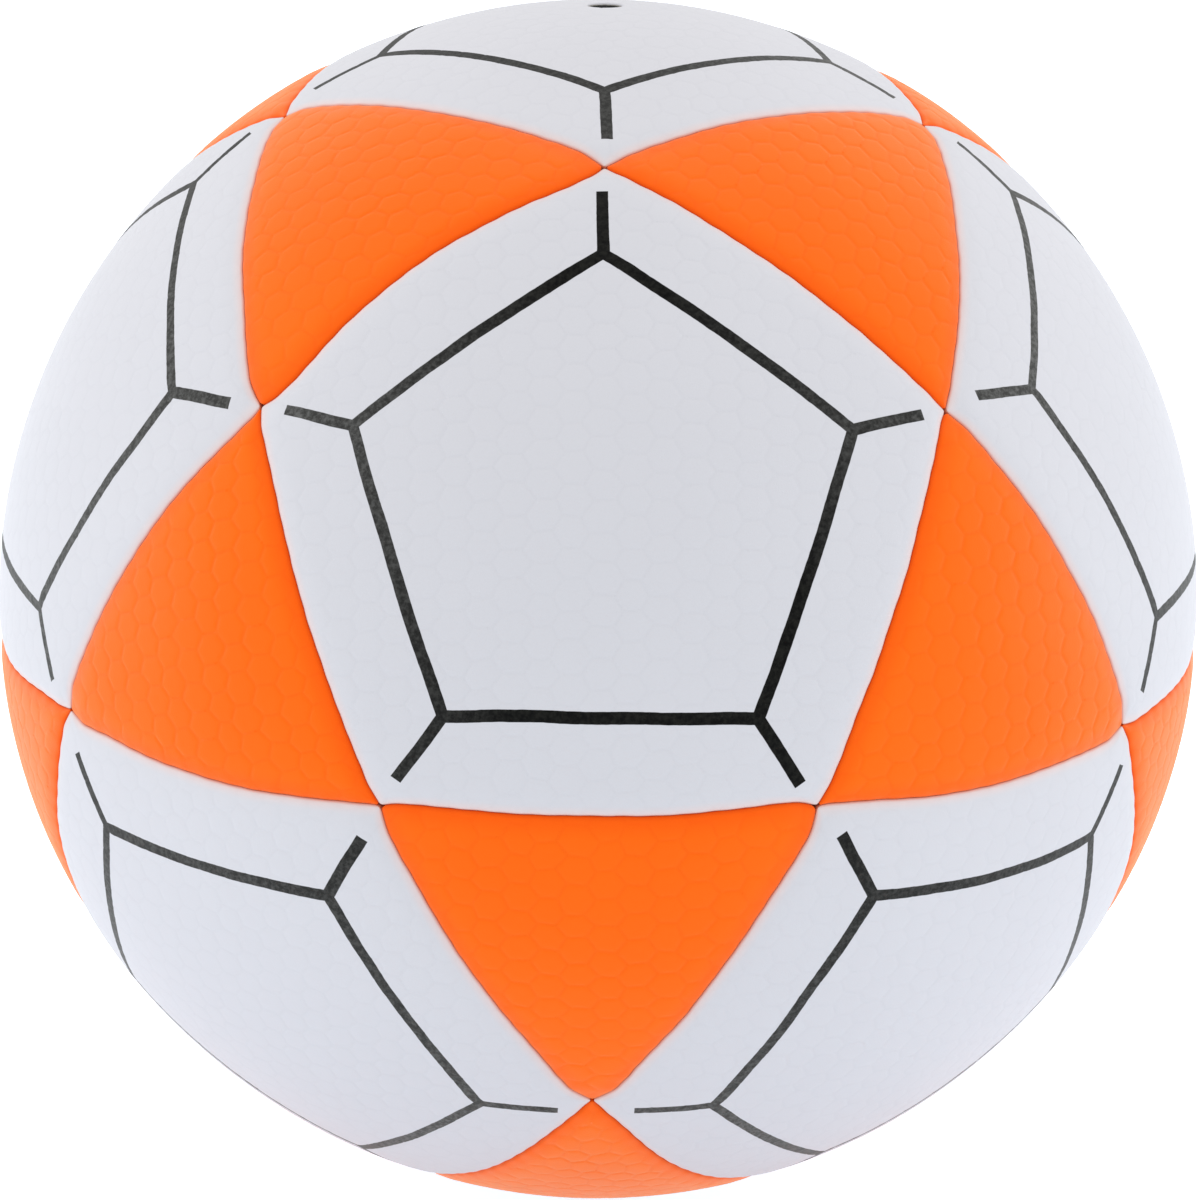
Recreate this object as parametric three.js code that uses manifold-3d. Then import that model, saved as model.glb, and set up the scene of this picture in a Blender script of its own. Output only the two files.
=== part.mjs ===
// A korfball: twelve white pentagon panels and twenty orange triangle panels, sewn edge to edge round a
// rubber bladder, with a needle valve at the middle of the topmost white panel.
// Millimetres, +Z up. The origin is the centre of the ball, and +Z runs out through the valve.
import * as THREE from 'three';
import { LoftGeometry } from 'three/addons/geometries/LoftGeometry.js';
import { mergeVertices } from 'three/addons/utils/BufferGeometryUtils.js';
import Module from 'manifold-3d';

// The ball and its cover
const BALL_DIAMETER = 220;
const COVER_THICKNESS = 3;
const PANEL_CROWN = 0.2; // how much lower a panel lies at its rolled edge than at its middle
const ROLL_WIDTH = 4.5; // how far in from the seam a panel starts to roll over
const ROLL_DEPTH = 1.1; // how far the fold lies below the rolled edge
const CORNER_SINK = 0.3; // how much deeper four panels meet at a corner
const SEAM_BOW = 0.5; // how far a seam bows out of the triangle at its middle

// The turned-in edges that are sewn together
const SEAM_GAP = 0.3;
const SEAM_ALLOWANCE = 4.5; // how far the edge reaches in, below the cover's inner face
const ALLOWANCE_THICKNESS = 2.2;
const ROOT_FILLET = 1.2;

// The bladder
const BLADDER_WALL = 0.8;

// The valve
const VALVE_HOLE_RADIUS = 4; // in the cover
const VALVE_HOLE_CLEARANCE = 0.35;
const VALVE_RECESS = 0.8; // how far the mouth lies below the cover's outer face
const VALVE_BORE_RADIUS = 2.1;
const BOSS_RADIUS = 6;
const BOSS_FLARE = 1.8; // where the boss widens into its flange
const STUB_RADIUS = 5; // the part of the housing that goes through the bladder's wall
const STUB_LENGTH = 3; // how far it reaches into the bladder
const FLANGE_WIDTH = 8; // round the boss
const FLANGE_THICKNESS = 1.4;
const AIR_HOLE_RADIUS = 1.1;
const CORE_COLLAR_RADIUS = 2.8;
const CORE_COLLAR_HEIGHT = 2;
const DIMPLE_RADIUS = 0.9;
const DIMPLE_DEPTH = 1.2;
const PATCH_WIDTH = 12; // round the boss
const PATCH_THICKNESS = 0.9;
const FIT = 0.3; // clearance between parts that touch

// How finely the curved faces are cut
const SIDE_STEPS = 5;
const ROLL_STEPS = 3;
const PENTAGON_RINGS = { outside: 3, inside: 3 };
const TRIANGLE_RINGS = { outside: 2, inside: 1 };
const BLADDER_STEPS = 20;
const VALVE_STEPS = 20;

// Sizes that follow
const BALL_RADIUS = BALL_DIAMETER / 2;
const COVER_INNER_RADIUS = BALL_RADIUS - COVER_THICKNESS;
const ALLOWANCE_DEPTH = COVER_THICKNESS + SEAM_ALLOWANCE;
const DEEPEST_ALLOWANCE = ALLOWANCE_DEPTH + CORNER_SINK;
const SIDE_ANGLE = Math.PI / 5; // between the two corners at the ends of a seam
const FACET_DIP = BALL_RADIUS * (1 - Math.cos(SIDE_ANGLE / SIDE_STEPS / 2));
const PENTAGON_REACH = BALL_RADIUS / 2; // from its middle to the middles of its sides, laid flat
const PENTAGON_STEP = PENTAGON_REACH / PENTAGON_RINGS.inside / Math.cos(Math.PI / 5);
const COVER_DIP = COVER_INNER_RADIUS * (1 - Math.cos(PENTAGON_STEP / BALL_RADIUS / 2));
const BLADDER_RADIUS = BALL_RADIUS - DEEPEST_ALLOWANCE - FACET_DIP - FIT;
const MOUTH_RADIUS = VALVE_HOLE_RADIUS - VALVE_HOLE_CLEARANCE;
const MOUTH_HEIGHT = BALL_RADIUS - VALVE_RECESS;

const wasm = await Module();
wasm.setup();

const finishes = {
  white: new THREE.MeshStandardMaterial({ color: 0xe9e9ee, roughness: 0.5, metalness: 0 }),
  orange: new THREE.MeshStandardMaterial({ color: 0xff5f0c, roughness: 0.5, metalness: 0 }),
  bladder: new THREE.MeshStandardMaterial({ color: 0x1b1b1c, roughness: 0.7, metalness: 0 }),
  valve: new THREE.MeshStandardMaterial({ color: 0x131314, roughness: 0.6, metalness: 0 }),
  patch: new THREE.MeshStandardMaterial({ color: 0xcfc8b4, roughness: 0.9, metalness: 0 }),
};

// A unit direction from the ball's centre
function direction(azimuth, elevation) {
  const level = Math.cos(elevation);
  return new THREE.Vector3(
    level * Math.cos(azimuth),
    level * Math.sin(azimuth),
    Math.sin(elevation),
  );
}

function middleOf(...directions) {
  return directions.reduce((sum, d) => sum.add(d), new THREE.Vector3()).normalize();
}

// Height over the middle of the ball at a radius from the Z axis, on a sphere about the origin
function heightOn(sphereRadius, radius) {
  return Math.sqrt(sphereRadius ** 2 - radius ** 2);
}

// The middles of the white panels: one at each pole and two rings of five between them
const FIFTH = (2 * Math.PI) / 5;
const RING_ELEVATION = Math.atan(0.5);
const top = direction(0, Math.PI / 2);
const base = direction(0, -Math.PI / 2);
const fifths = [0, 1, 2, 3, 4];
const upper = fifths.map((k) => direction(-Math.PI / 2 + k * FIFTH, RING_ELEVATION));
const lower = fifths.map((k) => direction(-Math.PI / 2 + (k + 0.5) * FIFTH, -RING_ELEVATION));
const whites = [top, ...upper, ...lower, base];

// The corners where four panels meet: midway between each two neighbouring white panels
const NEIGHBOUR_COSINE = 1 / Math.sqrt(5);
const junctions = whites.flatMap((a, i) =>
  whites
    .slice(i + 1)
    .filter((b) => Math.abs(a.dot(b) - NEIGHBOUR_COSINE) < 0.01)
    .map((b) => middleOf(a, b)),
);

// The corners of the panel about a middle, in order, clockwise from outside
function cornersAbout(middle, count) {
  const nearest = [...junctions].sort((a, b) => b.dot(middle) - a.dot(middle)).slice(0, count);
  const along = nearest[0].clone().projectOnPlane(middle).normalize();
  const across = middle.clone().cross(along);
  const turn = (p) => Math.atan2(p.dot(across), p.dot(along));
  return nearest.sort((a, b) => turn(b) - turn(a));
}

// A panel's outline, on the plane that touches the unit sphere at its middle. The seam between two
// corners is a great circle that bows outwards by a length, which is negative where it bows in.
function outline(middle, corners, bow) {
  return corners.flatMap((from, i) => {
    const to = corners[(i + 1) % corners.length];
    const outwards = from.clone().cross(to).normalize();
    return Array.from({ length: SIDE_STEPS }, (_, step) => {
      const along = step / SIDE_STEPS;
      const point = from.clone().applyAxisAngle(outwards, along * SIDE_ANGLE);
      point.addScaledVector(outwards, (bow / BALL_RADIUS) * 4 * along * (1 - along));
      return point.divideScalar(point.dot(middle));
    });
  });
}

// A panel's section, from the middle of its outer face over the rolled edge and the turned-in
// allowance to the middle of its inner face. Each station is a distance in from the seam and a depth
// below the ball's outer sphere.
function sectionStations(reach, rings) {
  const seam = SEAM_GAP / 2;
  const allowance = seam + ALLOWANCE_THICKNESS;
  const root = allowance + ROOT_FILLET;
  const stations = [];
  for (let ring = 0; ring <= rings.outside; ring++) {
    const out = ring / rings.outside;
    stations.push([reach - out * (reach - ROLL_WIDTH), PANEL_CROWN * out ** 2]);
  }
  for (let step = 1; step <= ROLL_STEPS; step++) {
    const turn = (step / ROLL_STEPS) * (Math.PI / 2);
    const inward = seam + (ROLL_WIDTH - seam) * (1 - Math.sin(turn));
    stations.push([inward, PANEL_CROWN + ROLL_DEPTH * (1 - Math.cos(turn))]);
  }
  stations.push([seam, ALLOWANCE_DEPTH], [allowance, ALLOWANCE_DEPTH]);
  stations.push([allowance, COVER_THICKNESS + PANEL_CROWN + ROOT_FILLET]);
  for (let ring = rings.inside; ring >= 0; ring--) {
    const out = ring / rings.inside;
    stations.push([reach - out * (reach - root), COVER_THICKNESS + PANEL_CROWN * out ** 2]);
  }
  return stations;
}

function panelGeometry(middle, corners, bow, rings) {
  const rim = outline(middle, corners, bow);
  const midSide = middleOf(corners[0], corners[1]);
  const reach = BALL_RADIUS * Math.tan(midSide.angleTo(middle));
  const sections = sectionStations(reach, rings).map(([inward, depth]) => {
    const reachHere = reach * (1 - depth / BALL_RADIUS);
    const spread = Math.max(0, 1 - inward / reachHere);
    return rim.map((edge, i) => {
      const nearCorner = Math.abs((2 * (i % SIDE_STEPS)) / SIDE_STEPS - 1) ** 4;
      const sink = CORNER_SINK * nearCorner * spread ** 8;
      const point = middle.clone().lerp(edge, spread);
      return point.setLength(BALL_RADIUS - depth - sink);
    });
  });
  return new LoftGeometry(sections);
}

// A turned solid about Z, from points of radius and height that run anticlockwise round its section
function turned(points, steps) {
  const profile = points.map(([radius, height]) => new THREE.Vector2(radius, height));
  return new THREE.LatheGeometry(profile, steps).rotateX(Math.PI / 2);
}

function solid(geometry) {
  const bare = new THREE.BufferGeometry();
  bare.setAttribute('position', geometry.getAttribute('position'));
  bare.setIndex(geometry.index);
  const merged = mergeVertices(bare);
  const vertProperties = merged.getAttribute('position').array;
  const triVerts = new Uint32Array(merged.index.array);
  return new wasm.Manifold(new wasm.Mesh({ numProp: 3, vertProperties, triVerts }));
}

function geometryOf(manifold) {
  const { vertProperties, triVerts } = manifold.getMesh();
  const geometry = new THREE.BufferGeometry();
  geometry.setAttribute('position', new THREE.BufferAttribute(vertProperties, 3));
  geometry.setIndex(new THREE.BufferAttribute(triVerts, 1));
  return geometry;
}

const ball = new THREE.Group();

function place(name, geometry, finish) {
  const mesh = new THREE.Mesh(geometry, finish);
  mesh.name = name;
  ball.add(mesh);
}

// White panels
function pentagon(middle) {
  return panelGeometry(middle, cornersAbout(middle, 5), -SEAM_BOW, PENTAGON_RINGS);
}

function valveHole() {
  const length = 2 * COVER_THICKNESS + DEEPEST_ALLOWANCE;
  const drill = new THREE.CylinderGeometry(
    VALVE_HOLE_RADIUS,
    VALVE_HOLE_RADIUS,
    length,
    VALVE_STEPS,
  );
  return drill.rotateX(Math.PI / 2).translate(0, 0, BALL_RADIUS);
}

const valvePanel = solid(pentagon(top)).subtract(solid(valveHole()));
place('white_panel_valve', geometryOf(valvePanel), finishes.white);
upper.forEach((middle, k) => {
  place(`white_panel_upper_${k + 1}`, pentagon(middle), finishes.white);
});
lower.forEach((middle, k) => {
  place(`white_panel_lower_${k + 1}`, pentagon(middle), finishes.white);
});
place('white_panel_base', pentagon(base), finishes.white);

// Orange panels, each between three white ones
function triangle(...whiteNeighbours) {
  const middle = middleOf(...whiteNeighbours);
  return panelGeometry(middle, cornersAbout(middle, 3), SEAM_BOW, TRIANGLE_RINGS);
}

fifths.forEach((k) => {
  const next = (k + 1) % 5;
  const before = (k + 4) % 5;
  const number = k + 1;
  place(`orange_panel_cap_${number}`, triangle(top, upper[k], upper[next]), finishes.orange);
  place(
    `orange_panel_upper_${number}`,
    triangle(upper[k], upper[next], lower[k]),
    finishes.orange,
  );
  place(
    `orange_panel_lower_${number}`,
    triangle(lower[before], lower[k], upper[k]),
    finishes.orange,
  );
  place(`orange_panel_base_${number}`, triangle(base, lower[k], lower[next]), finishes.orange);
});

// Bladder: a hollow rubber sphere, open where the valve housing goes through its wall
function bladder() {
  const inside = BLADDER_RADIUS - BLADDER_WALL;
  const mouth = STUB_RADIUS + FIT;
  const rows = BLADDER_STEPS / 2;
  const arc = (radius) => {
    const end = Math.PI / 2 + Math.acos(mouth / radius);
    return Array.from({ length: rows + 1 }, (_, row) => {
      const turn = (row / rows) * end;
      return [radius * Math.sin(turn), -radius * Math.cos(turn)];
    });
  };
  return turned([...arc(BLADDER_RADIUS), ...arc(inside).reverse()], BLADDER_STEPS);
}
place('bladder', bladder(), finishes.bladder);

// Valve housing: a flange bonded to the bladder, a boss under the cover and a mouth in its hole
const flangeUnder = BLADDER_RADIUS + FIT;
const flangeOver = flangeUnder + FLANGE_THICKNESS;
const flangeRadius = BOSS_RADIUS + FLANGE_WIDTH;
const bossHeight = heightOn(COVER_INNER_RADIUS - COVER_DIP, BOSS_RADIUS) - FIT;
const stubEnd = BLADDER_RADIUS - BLADDER_WALL - STUB_LENGTH;
const boreFloor = BLADDER_RADIUS - BLADDER_WALL;
const collarMiddle = (boreFloor + bossHeight) / 2;
const collarGroove = CORE_COLLAR_HEIGHT / 2 + FIT;

function valveHousing() {
  return turned(
    [
      [AIR_HOLE_RADIUS, stubEnd],
      [STUB_RADIUS, stubEnd],
      [STUB_RADIUS, heightOn(flangeUnder, STUB_RADIUS)],
      [flangeRadius, heightOn(flangeUnder, flangeRadius)],
      [BOSS_RADIUS + BOSS_FLARE, heightOn(flangeOver, BOSS_RADIUS + BOSS_FLARE)],
      [BOSS_RADIUS, heightOn(flangeOver, BOSS_RADIUS) + BOSS_FLARE],
      [BOSS_RADIUS, bossHeight],
      [MOUTH_RADIUS, bossHeight],
      [MOUTH_RADIUS, MOUTH_HEIGHT],
      [VALVE_BORE_RADIUS, MOUTH_HEIGHT],
      [VALVE_BORE_RADIUS, collarMiddle + collarGroove],
      [CORE_COLLAR_RADIUS + FIT, collarMiddle + collarGroove],
      [CORE_COLLAR_RADIUS + FIT, collarMiddle - collarGroove],
      [VALVE_BORE_RADIUS, collarMiddle - collarGroove],
      [VALVE_BORE_RADIUS, boreFloor],
      [AIR_HOLE_RADIUS, boreFloor],
      [AIR_HOLE_RADIUS, stubEnd],
    ],
    VALVE_STEPS,
  );
}
place('valve_housing', valveHousing(), finishes.valve);

// Valve core: a rubber plug with a needle dimple at each end and a collar that keeps it in the bore
function valveCore() {
  const radius = VALVE_BORE_RADIUS - FIT;
  const foot = boreFloor + FIT;
  const head = MOUTH_HEIGHT - FIT;
  return turned(
    [
      [0, foot + DIMPLE_DEPTH],
      [DIMPLE_RADIUS, foot],
      [radius, foot],
      [radius, collarMiddle - CORE_COLLAR_HEIGHT / 2],
      [CORE_COLLAR_RADIUS, collarMiddle - CORE_COLLAR_HEIGHT / 2],
      [CORE_COLLAR_RADIUS, collarMiddle + CORE_COLLAR_HEIGHT / 2],
      [radius, collarMiddle + CORE_COLLAR_HEIGHT / 2],
      [radius, head],
      [DIMPLE_RADIUS, head],
      [0, head - DIMPLE_DEPTH],
    ],
    VALVE_STEPS,
  );
}
place('valve_core', valveCore(), finishes.valve);

// Valve patch: a textile ring that stiffens the cover round the boss
function valvePatch() {
  const over = COVER_INNER_RADIUS - COVER_DIP - FIT;
  const under = over - PATCH_THICKNESS;
  const hole = BOSS_RADIUS + FIT;
  const edge = BOSS_RADIUS + PATCH_WIDTH;
  return turned(
    [
      [hole, heightOn(under, hole)],
      [edge, heightOn(under, edge)],
      [edge, heightOn(over, edge)],
      [hole, heightOn(over, hole)],
      [hole, heightOn(under, hole)],
    ],
    VALVE_STEPS,
  );
}
place('valve_patch', valvePatch(), finishes.patch);

export default ball;
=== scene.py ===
import math
from itertools import combinations

import bpy
import numpy as np
from mathutils import Matrix, Vector
from mathutils.geometry import delaunay_2d_cdt


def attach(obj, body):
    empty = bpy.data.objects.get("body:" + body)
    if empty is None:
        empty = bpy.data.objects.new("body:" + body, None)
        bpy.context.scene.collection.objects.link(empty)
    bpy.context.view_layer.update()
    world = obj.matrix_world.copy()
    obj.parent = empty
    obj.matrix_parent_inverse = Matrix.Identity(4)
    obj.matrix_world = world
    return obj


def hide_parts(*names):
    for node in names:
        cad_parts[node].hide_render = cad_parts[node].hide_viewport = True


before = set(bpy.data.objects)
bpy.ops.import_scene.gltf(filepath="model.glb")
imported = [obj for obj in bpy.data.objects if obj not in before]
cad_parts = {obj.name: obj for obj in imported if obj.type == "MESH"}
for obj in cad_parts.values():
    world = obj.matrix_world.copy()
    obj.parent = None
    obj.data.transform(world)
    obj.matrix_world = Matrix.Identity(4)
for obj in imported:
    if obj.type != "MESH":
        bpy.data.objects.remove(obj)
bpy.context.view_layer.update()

# A korfball: twelve white pentagon panels and twenty orange triangle panels, hand sewn round a
# bladder. Lengths are in millimetres until a mesh is made, and +Z runs out through the valve.
MM = 0.001


def put_in_scene(name, data):
    """A new object, at the origin."""
    made = bpy.data.objects.new(name, data)
    bpy.context.scene.collection.objects.link(made)
    return made


# The photograph's view of the ball
IMAGE_SIZE = (1199, 1200)
VIEW_AZIMUTH = math.radians(-0.143)
VIEW_ELEVATION = math.radians(18.460)
VIEW_ROLL = math.radians(0.681)
VIEW_DISTANCE = 0.58823  # metres
FOCAL_PIXELS = 3153.0
VIEW_CENTRE = (597.99, 598.82)  # where the ball's middle comes, in pixels
FILM_WIDTH = 36.0


def make_camera():
    east = np.array([math.cos(VIEW_AZIMUTH), math.sin(VIEW_AZIMUTH), 0.0])
    back = np.array(
        [
            math.sin(VIEW_AZIMUTH) * math.cos(VIEW_ELEVATION),
            -math.cos(VIEW_AZIMUTH) * math.cos(VIEW_ELEVATION),
            math.sin(VIEW_ELEVATION),
        ]
    )
    north = np.cross(back, east)
    right = east * math.cos(VIEW_ROLL) + north * math.sin(VIEW_ROLL)
    up = north * math.cos(VIEW_ROLL) - east * math.sin(VIEW_ROLL)
    camera = bpy.data.cameras.new("camera")
    long_side = max(IMAGE_SIZE)
    camera.sensor_width = FILM_WIDTH
    camera.lens = FOCAL_PIXELS / long_side * FILM_WIDTH
    camera.shift_x = (IMAGE_SIZE[0] / 2 - VIEW_CENTRE[0]) / long_side
    camera.shift_y = (VIEW_CENTRE[1] - IMAGE_SIZE[1] / 2) / long_side
    camera.clip_start = 0.01
    holder = put_in_scene("camera", camera)
    turn = Matrix((right, up, back)).transposed().to_4x4()
    holder.matrix_world = Matrix.Translation(Vector(back * VIEW_DISTANCE)) @ turn
    bpy.context.scene.camera = holder


make_camera()


# Node trees


class Link:
    """An output of a node. Arithmetic on it adds Math nodes to its tree."""

    def __init__(self, recipe, socket):
        self.recipe = recipe
        self.socket = socket

    def maths(self, operation, *values):
        return self.recipe.maths(operation, *values)

    def __add__(self, other):
        return self.maths("ADD", self, other)

    def __radd__(self, other):
        return self.maths("ADD", other, self)

    def __sub__(self, other):
        return self.maths("SUBTRACT", self, other)

    def __rsub__(self, other):
        return self.maths("SUBTRACT", other, self)

    def __mul__(self, other):
        return self.maths("MULTIPLY", self, other)

    def __rmul__(self, other):
        return self.maths("MULTIPLY", other, self)

    def __truediv__(self, other):
        return self.maths("DIVIDE", self, other)

    def __abs__(self):
        return self.maths("ABSOLUTE", self)


class Recipe:
    """A node tree in the making."""

    def __init__(self, tree):
        self.tree = tree

    def node(self, kind, settings=None, sockets=None):
        """Adds a node with its settings, then fills its sockets, and returns its outputs."""
        made = self.tree.nodes.new(kind)
        for name, value in (settings or {}).items():
            setattr(made, name, value)
        for name, value in (sockets or {}).items():
            socket = made.inputs[name]
            if isinstance(value, Link):
                self.tree.links.new(value.socket, socket)
            else:
                socket.default_value = value
        return [Link(self, output) for output in made.outputs]

    def maths(self, operation, *values):
        return self.node("ShaderNodeMath", {"operation": operation}, dict(enumerate(values)))[0]

    def ease(self, value, start, end, low=0.0, high=1.0):
        """Runs smoothly from low to high while value goes from start to end."""
        ends = {"From Min": start, "From Max": end, "To Min": low, "To Max": high}
        settings = {"interpolation_type": "SMOOTHSTEP"}
        return self.node("ShaderNodeMapRange", settings, {"Value": value, **ends})[0]

    def noise(self, place, scale, detail=2.0, roughness=0.5):
        sockets = {"Vector": place, "Scale": scale, "Detail": detail, "Roughness": roughness}
        return self.node("ShaderNodeTexNoise", {}, sockets)[0]

    def place(self):
        """Object coordinates."""
        return self.node("ShaderNodeTexCoord")[3]

    def attribute(self, name, output=2):
        return self.node("ShaderNodeAttribute", {"attribute_name": name})[output]

    def split(self, vector):
        return self.node("ShaderNodeSeparateXYZ", {}, {0: vector})

    def blend(self, share, first, second):
        sockets = {"Factor": share, 6: first, 7: second}
        return self.node("ShaderNodeMix", {"data_type": "RGBA"}, sockets)[2]


def finish(name, roughness, specular, sheen=0.0):
    """A new material, with its shader and its recipe."""
    material = bpy.data.materials.new(name)
    material.use_nodes = True
    tree = material.node_tree
    shader = tree.nodes["Principled BSDF"]
    shader.inputs["Roughness"].default_value = roughness
    shader.inputs["Specular IOR Level"].default_value = specular
    shader.inputs["Sheen Weight"].default_value = sheen
    return material, shader, Recipe(tree)


def join(recipe, shader, **sockets):
    """Links values to the shader's sockets, which are named with _ for a space."""
    for name, value in sockets.items():
        recipe.tree.links.new(value.socket, shader.inputs[name.replace("_", " ")])


def relief(recipe, height):
    """A bump whose height is in millimetres."""
    sockets = {"Height": height, "Distance": MM, "Strength": 1.0}
    return recipe.node("ShaderNodeBump", {}, sockets)[0]


# Finishes. A pair of colours runs from the darker places to the lighter ones.
WHITE_SKIN = ((0.643, 0.641, 0.678, 1), (0.671, 0.669, 0.706, 1))
ORANGE_SKIN = ((1.0, 0.127, 0.001, 1), (1.0, 0.154, 0.003, 1))
PAINTED_BOUNCE_WHITE = (1.0, 0.6, 0.48, 1)  # painted orange bounce light, lighter and pinker, on a white panel next to the orange ones
# Painted shade and orange bounce light in the crease at a white panel's seam
WHITE_CREASE_SHADE = (0.7, 0.2, 0.07, 1)
ORANGE_SHEEN = (1.0, 0.82, 0.42, 1)
# Painted shade on an orange panel's shoulders towards the seams
ORANGE_SHOULDER_SHADE = (1.0, 0.08, 0.001, 1)
# Painted shade in the crease at an orange panel's seam
ORANGE_CREASE_SHADE = (0.55, 0.03, 0.0, 1)
# Painted shade in the grooves between the pressed tiles
WHITE_GROOVE_SHADE = (0.35, 0.35, 0.4, 1)
ORANGE_GROOVE_SHADE = (0.9, 0.05, 0.0, 1)
FULL_INK = ((0.0, 0.0, 0.0, 1), (0.012, 0.012, 0.01, 1))
# Thin print, a lighter grey, which is partly painted sheen of the glossy ink
THIN_INK_AND_SHEEN = ((0.055, 0.055, 0.052, 1), (0.16, 0.16, 0.156, 1))
THREAD_COLOURS = ((0.3, 0.25, 0.18, 1), (0.62, 0.56, 0.44, 1))
BACKING_COLOURS = ((0.4, 0.37, 0.31, 1), (0.66, 0.63, 0.55, 1))
PATCH_COLOURS = ((0.3, 0.27, 0.2, 1), (0.58, 0.53, 0.43, 1))
BLADDER_COLOURS = ((0.012, 0.012, 0.013, 1), (0.03, 0.03, 0.03, 1))
VALVE_COLOURS = ((0.004, 0.004, 0.004, 1), (0.01, 0.01, 0.01, 1))
WHITE_ROUGHNESS, ORANGE_ROUGHNESS = 0.46, 0.42
GRAIN_HEIGHT, INK_HEIGHT = 0.012, 0.02
# How tight the twist and the weaves are, as radians to a metre, and the finishes' relief
THREAD_TWIST, BACKING_COUNT, PATCH_COUNT = 9000.0, 5200.0, 3800.0
TWIST_HEIGHT, WEAVE_HEIGHT, RUBBER_HEIGHT = 0.08, 0.12, 0.015
LINE_WIDTH = 1.88
FULL_SPREAD = 1.1  # the line's width where the print is full, as a share of LINE_WIDTH
THIN_LOSS = 0.16  # how much of that share is lost where the print is thin
LINE_EDGE = 0.05  # half the width of the line's soft edge
LINE_RING_CORNER = 42.3  # from a white panel's middle to the corners of its line pentagon
LINE_SPOKE_END = 55.5
SECTOR = 2 * math.pi / 5


def line_figure(recipe, x, y, wander, fade):
    """How much of a white panel's printed line, which is narrower where the print is thin, covers
    a place on its sheet."""
    reach = recipe.maths("SQRT", x * x + y * y)
    turn = recipe.maths("ARCTAN2", y, x) / SECTOR
    fold = (turn - recipe.maths("ROUND", turn)) * SECTOR
    ring = reach * recipe.maths("COSINE", abs(fold) - SECTOR / 2)
    from_ring = abs(ring - LINE_RING_CORNER * math.cos(SECTOR / 2) + wander)
    across = abs(reach * recipe.maths("SINE", fold) + wander)
    along = reach * recipe.maths("COSINE", fold)
    half = (FULL_SPREAD - fade * THIN_LOSS) * (LINE_WIDTH / 2)

    def within(distance, limit, edge=LINE_EDGE):
        return recipe.ease(distance, limit + edge, limit - edge)

    spoke_ink = within(across, half) * within(along, LINE_RING_CORNER, -LINE_EDGE)
    spoke_ink = spoke_ink * within(along, LINE_SPOKE_END)
    return recipe.maths("MAXIMUM", within(from_ring, half), spoke_ink)


# How many of a pattern's spots come to a metre, and how wide a groove looks
PORES, CREASES = 2600.0, 900.0
CLOUDS, STREAKS, LINE_WANDERS, GLOSS_PATCHES = 22.0, 1150.0, 700.0, 300.0
ORANGE_CLOUDS = 24.0
GROOVE_WIDTH = 0.45


def leather_grain(recipe, place):
    """The pores and fine creases of the cover's skin, from about 0 to 1."""
    sockets = {"Vector": place, "Scale": PORES, "Randomness": 1.0}
    settings = {"feature": "DISTANCE_TO_EDGE"}
    pores = recipe.node("ShaderNodeTexVoronoi", settings, sockets)[0]
    creases = recipe.noise(place, CREASES, 3.0, 0.6)
    return recipe.ease(pores, 0.0, 0.35) * 0.6 + creases * 0.6


def in_grooves(recipe):
    """1 at the bottom of the grooves between the pressed tiles."""
    return recipe.ease(recipe.attribute("groove"), GROOVE_WIDTH, 0.05)


def gloss(recipe, place, roughness):
    """A skin's roughness, uneven from patch to patch."""
    return roughness + (recipe.noise(place, GLOSS_PATCHES, 2.0) - 0.5) * 0.1


def white_cover():
    """The white panels' skin, with their printed line."""
    material, shader, recipe = finish("pressed_white_skin", WHITE_ROUGHNESS, 0.08)
    x, y, seam = recipe.split(recipe.attribute("sheet", 1))
    place = recipe.place()
    cloud = recipe.noise(place, CLOUDS, 3.0)
    grain = leather_grain(recipe, place)
    wander = (recipe.noise(place, LINE_WANDERS, 1.0) - 0.5) * 0.12
    fade = recipe.attribute("fade")
    ink = line_figure(recipe, x, y, wander, fade) * recipe.ease(seam, 1.0, 1.4)
    skin = recipe.blend(cloud, *WHITE_SKIN)
    # Painted orange bounce light: the white turns a light pink within 2 mm of the seam, which also
    # lightens the seam's shade
    painted_bounce = recipe.ease(seam, 2.0, 0.0)
    skin = recipe.blend(painted_bounce * 0.28, skin, PAINTED_BOUNCE_WHITE)
    # Painted shade and orange bounce light: the white turns a dark orange-brown within half a
    # millimetre of the seam
    fold = recipe.ease(seam, 0.45, -0.2)
    skin = recipe.blend(fold * 0.85, skin, WHITE_CREASE_SHADE)
    # Painted shade: a little darker at the bottom of the tile grooves
    skin = recipe.blend(in_grooves(recipe) * 0.03, skin, WHITE_GROOVE_SHADE)
    streak = recipe.noise(place, STREAKS, 4.0, 0.7)
    streaks = recipe.ease(streak, 0.35, 0.7)
    # Where the print is thin the ink is a lighter grey: partly thin print, partly painted sheen of
    # the glossy ink
    ink_colour = recipe.blend(
        fade, recipe.blend(streaks, *FULL_INK), recipe.blend(streaks, *THIN_INK_AND_SHEEN)
    )
    rough = gloss(recipe, place, WHITE_ROUGHNESS)
    ink_rough = WHITE_ROUGHNESS + recipe.ease(streak, 0.3, 0.75) * 0.2
    height = grain * GRAIN_HEIGHT + ink * INK_HEIGHT
    join(
        recipe,
        shader,
        Base_Color=recipe.blend(ink, skin, ink_colour),
        Roughness=rough + ink * (ink_rough - rough),
        Normal=relief(recipe, height),
    )
    return material


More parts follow.
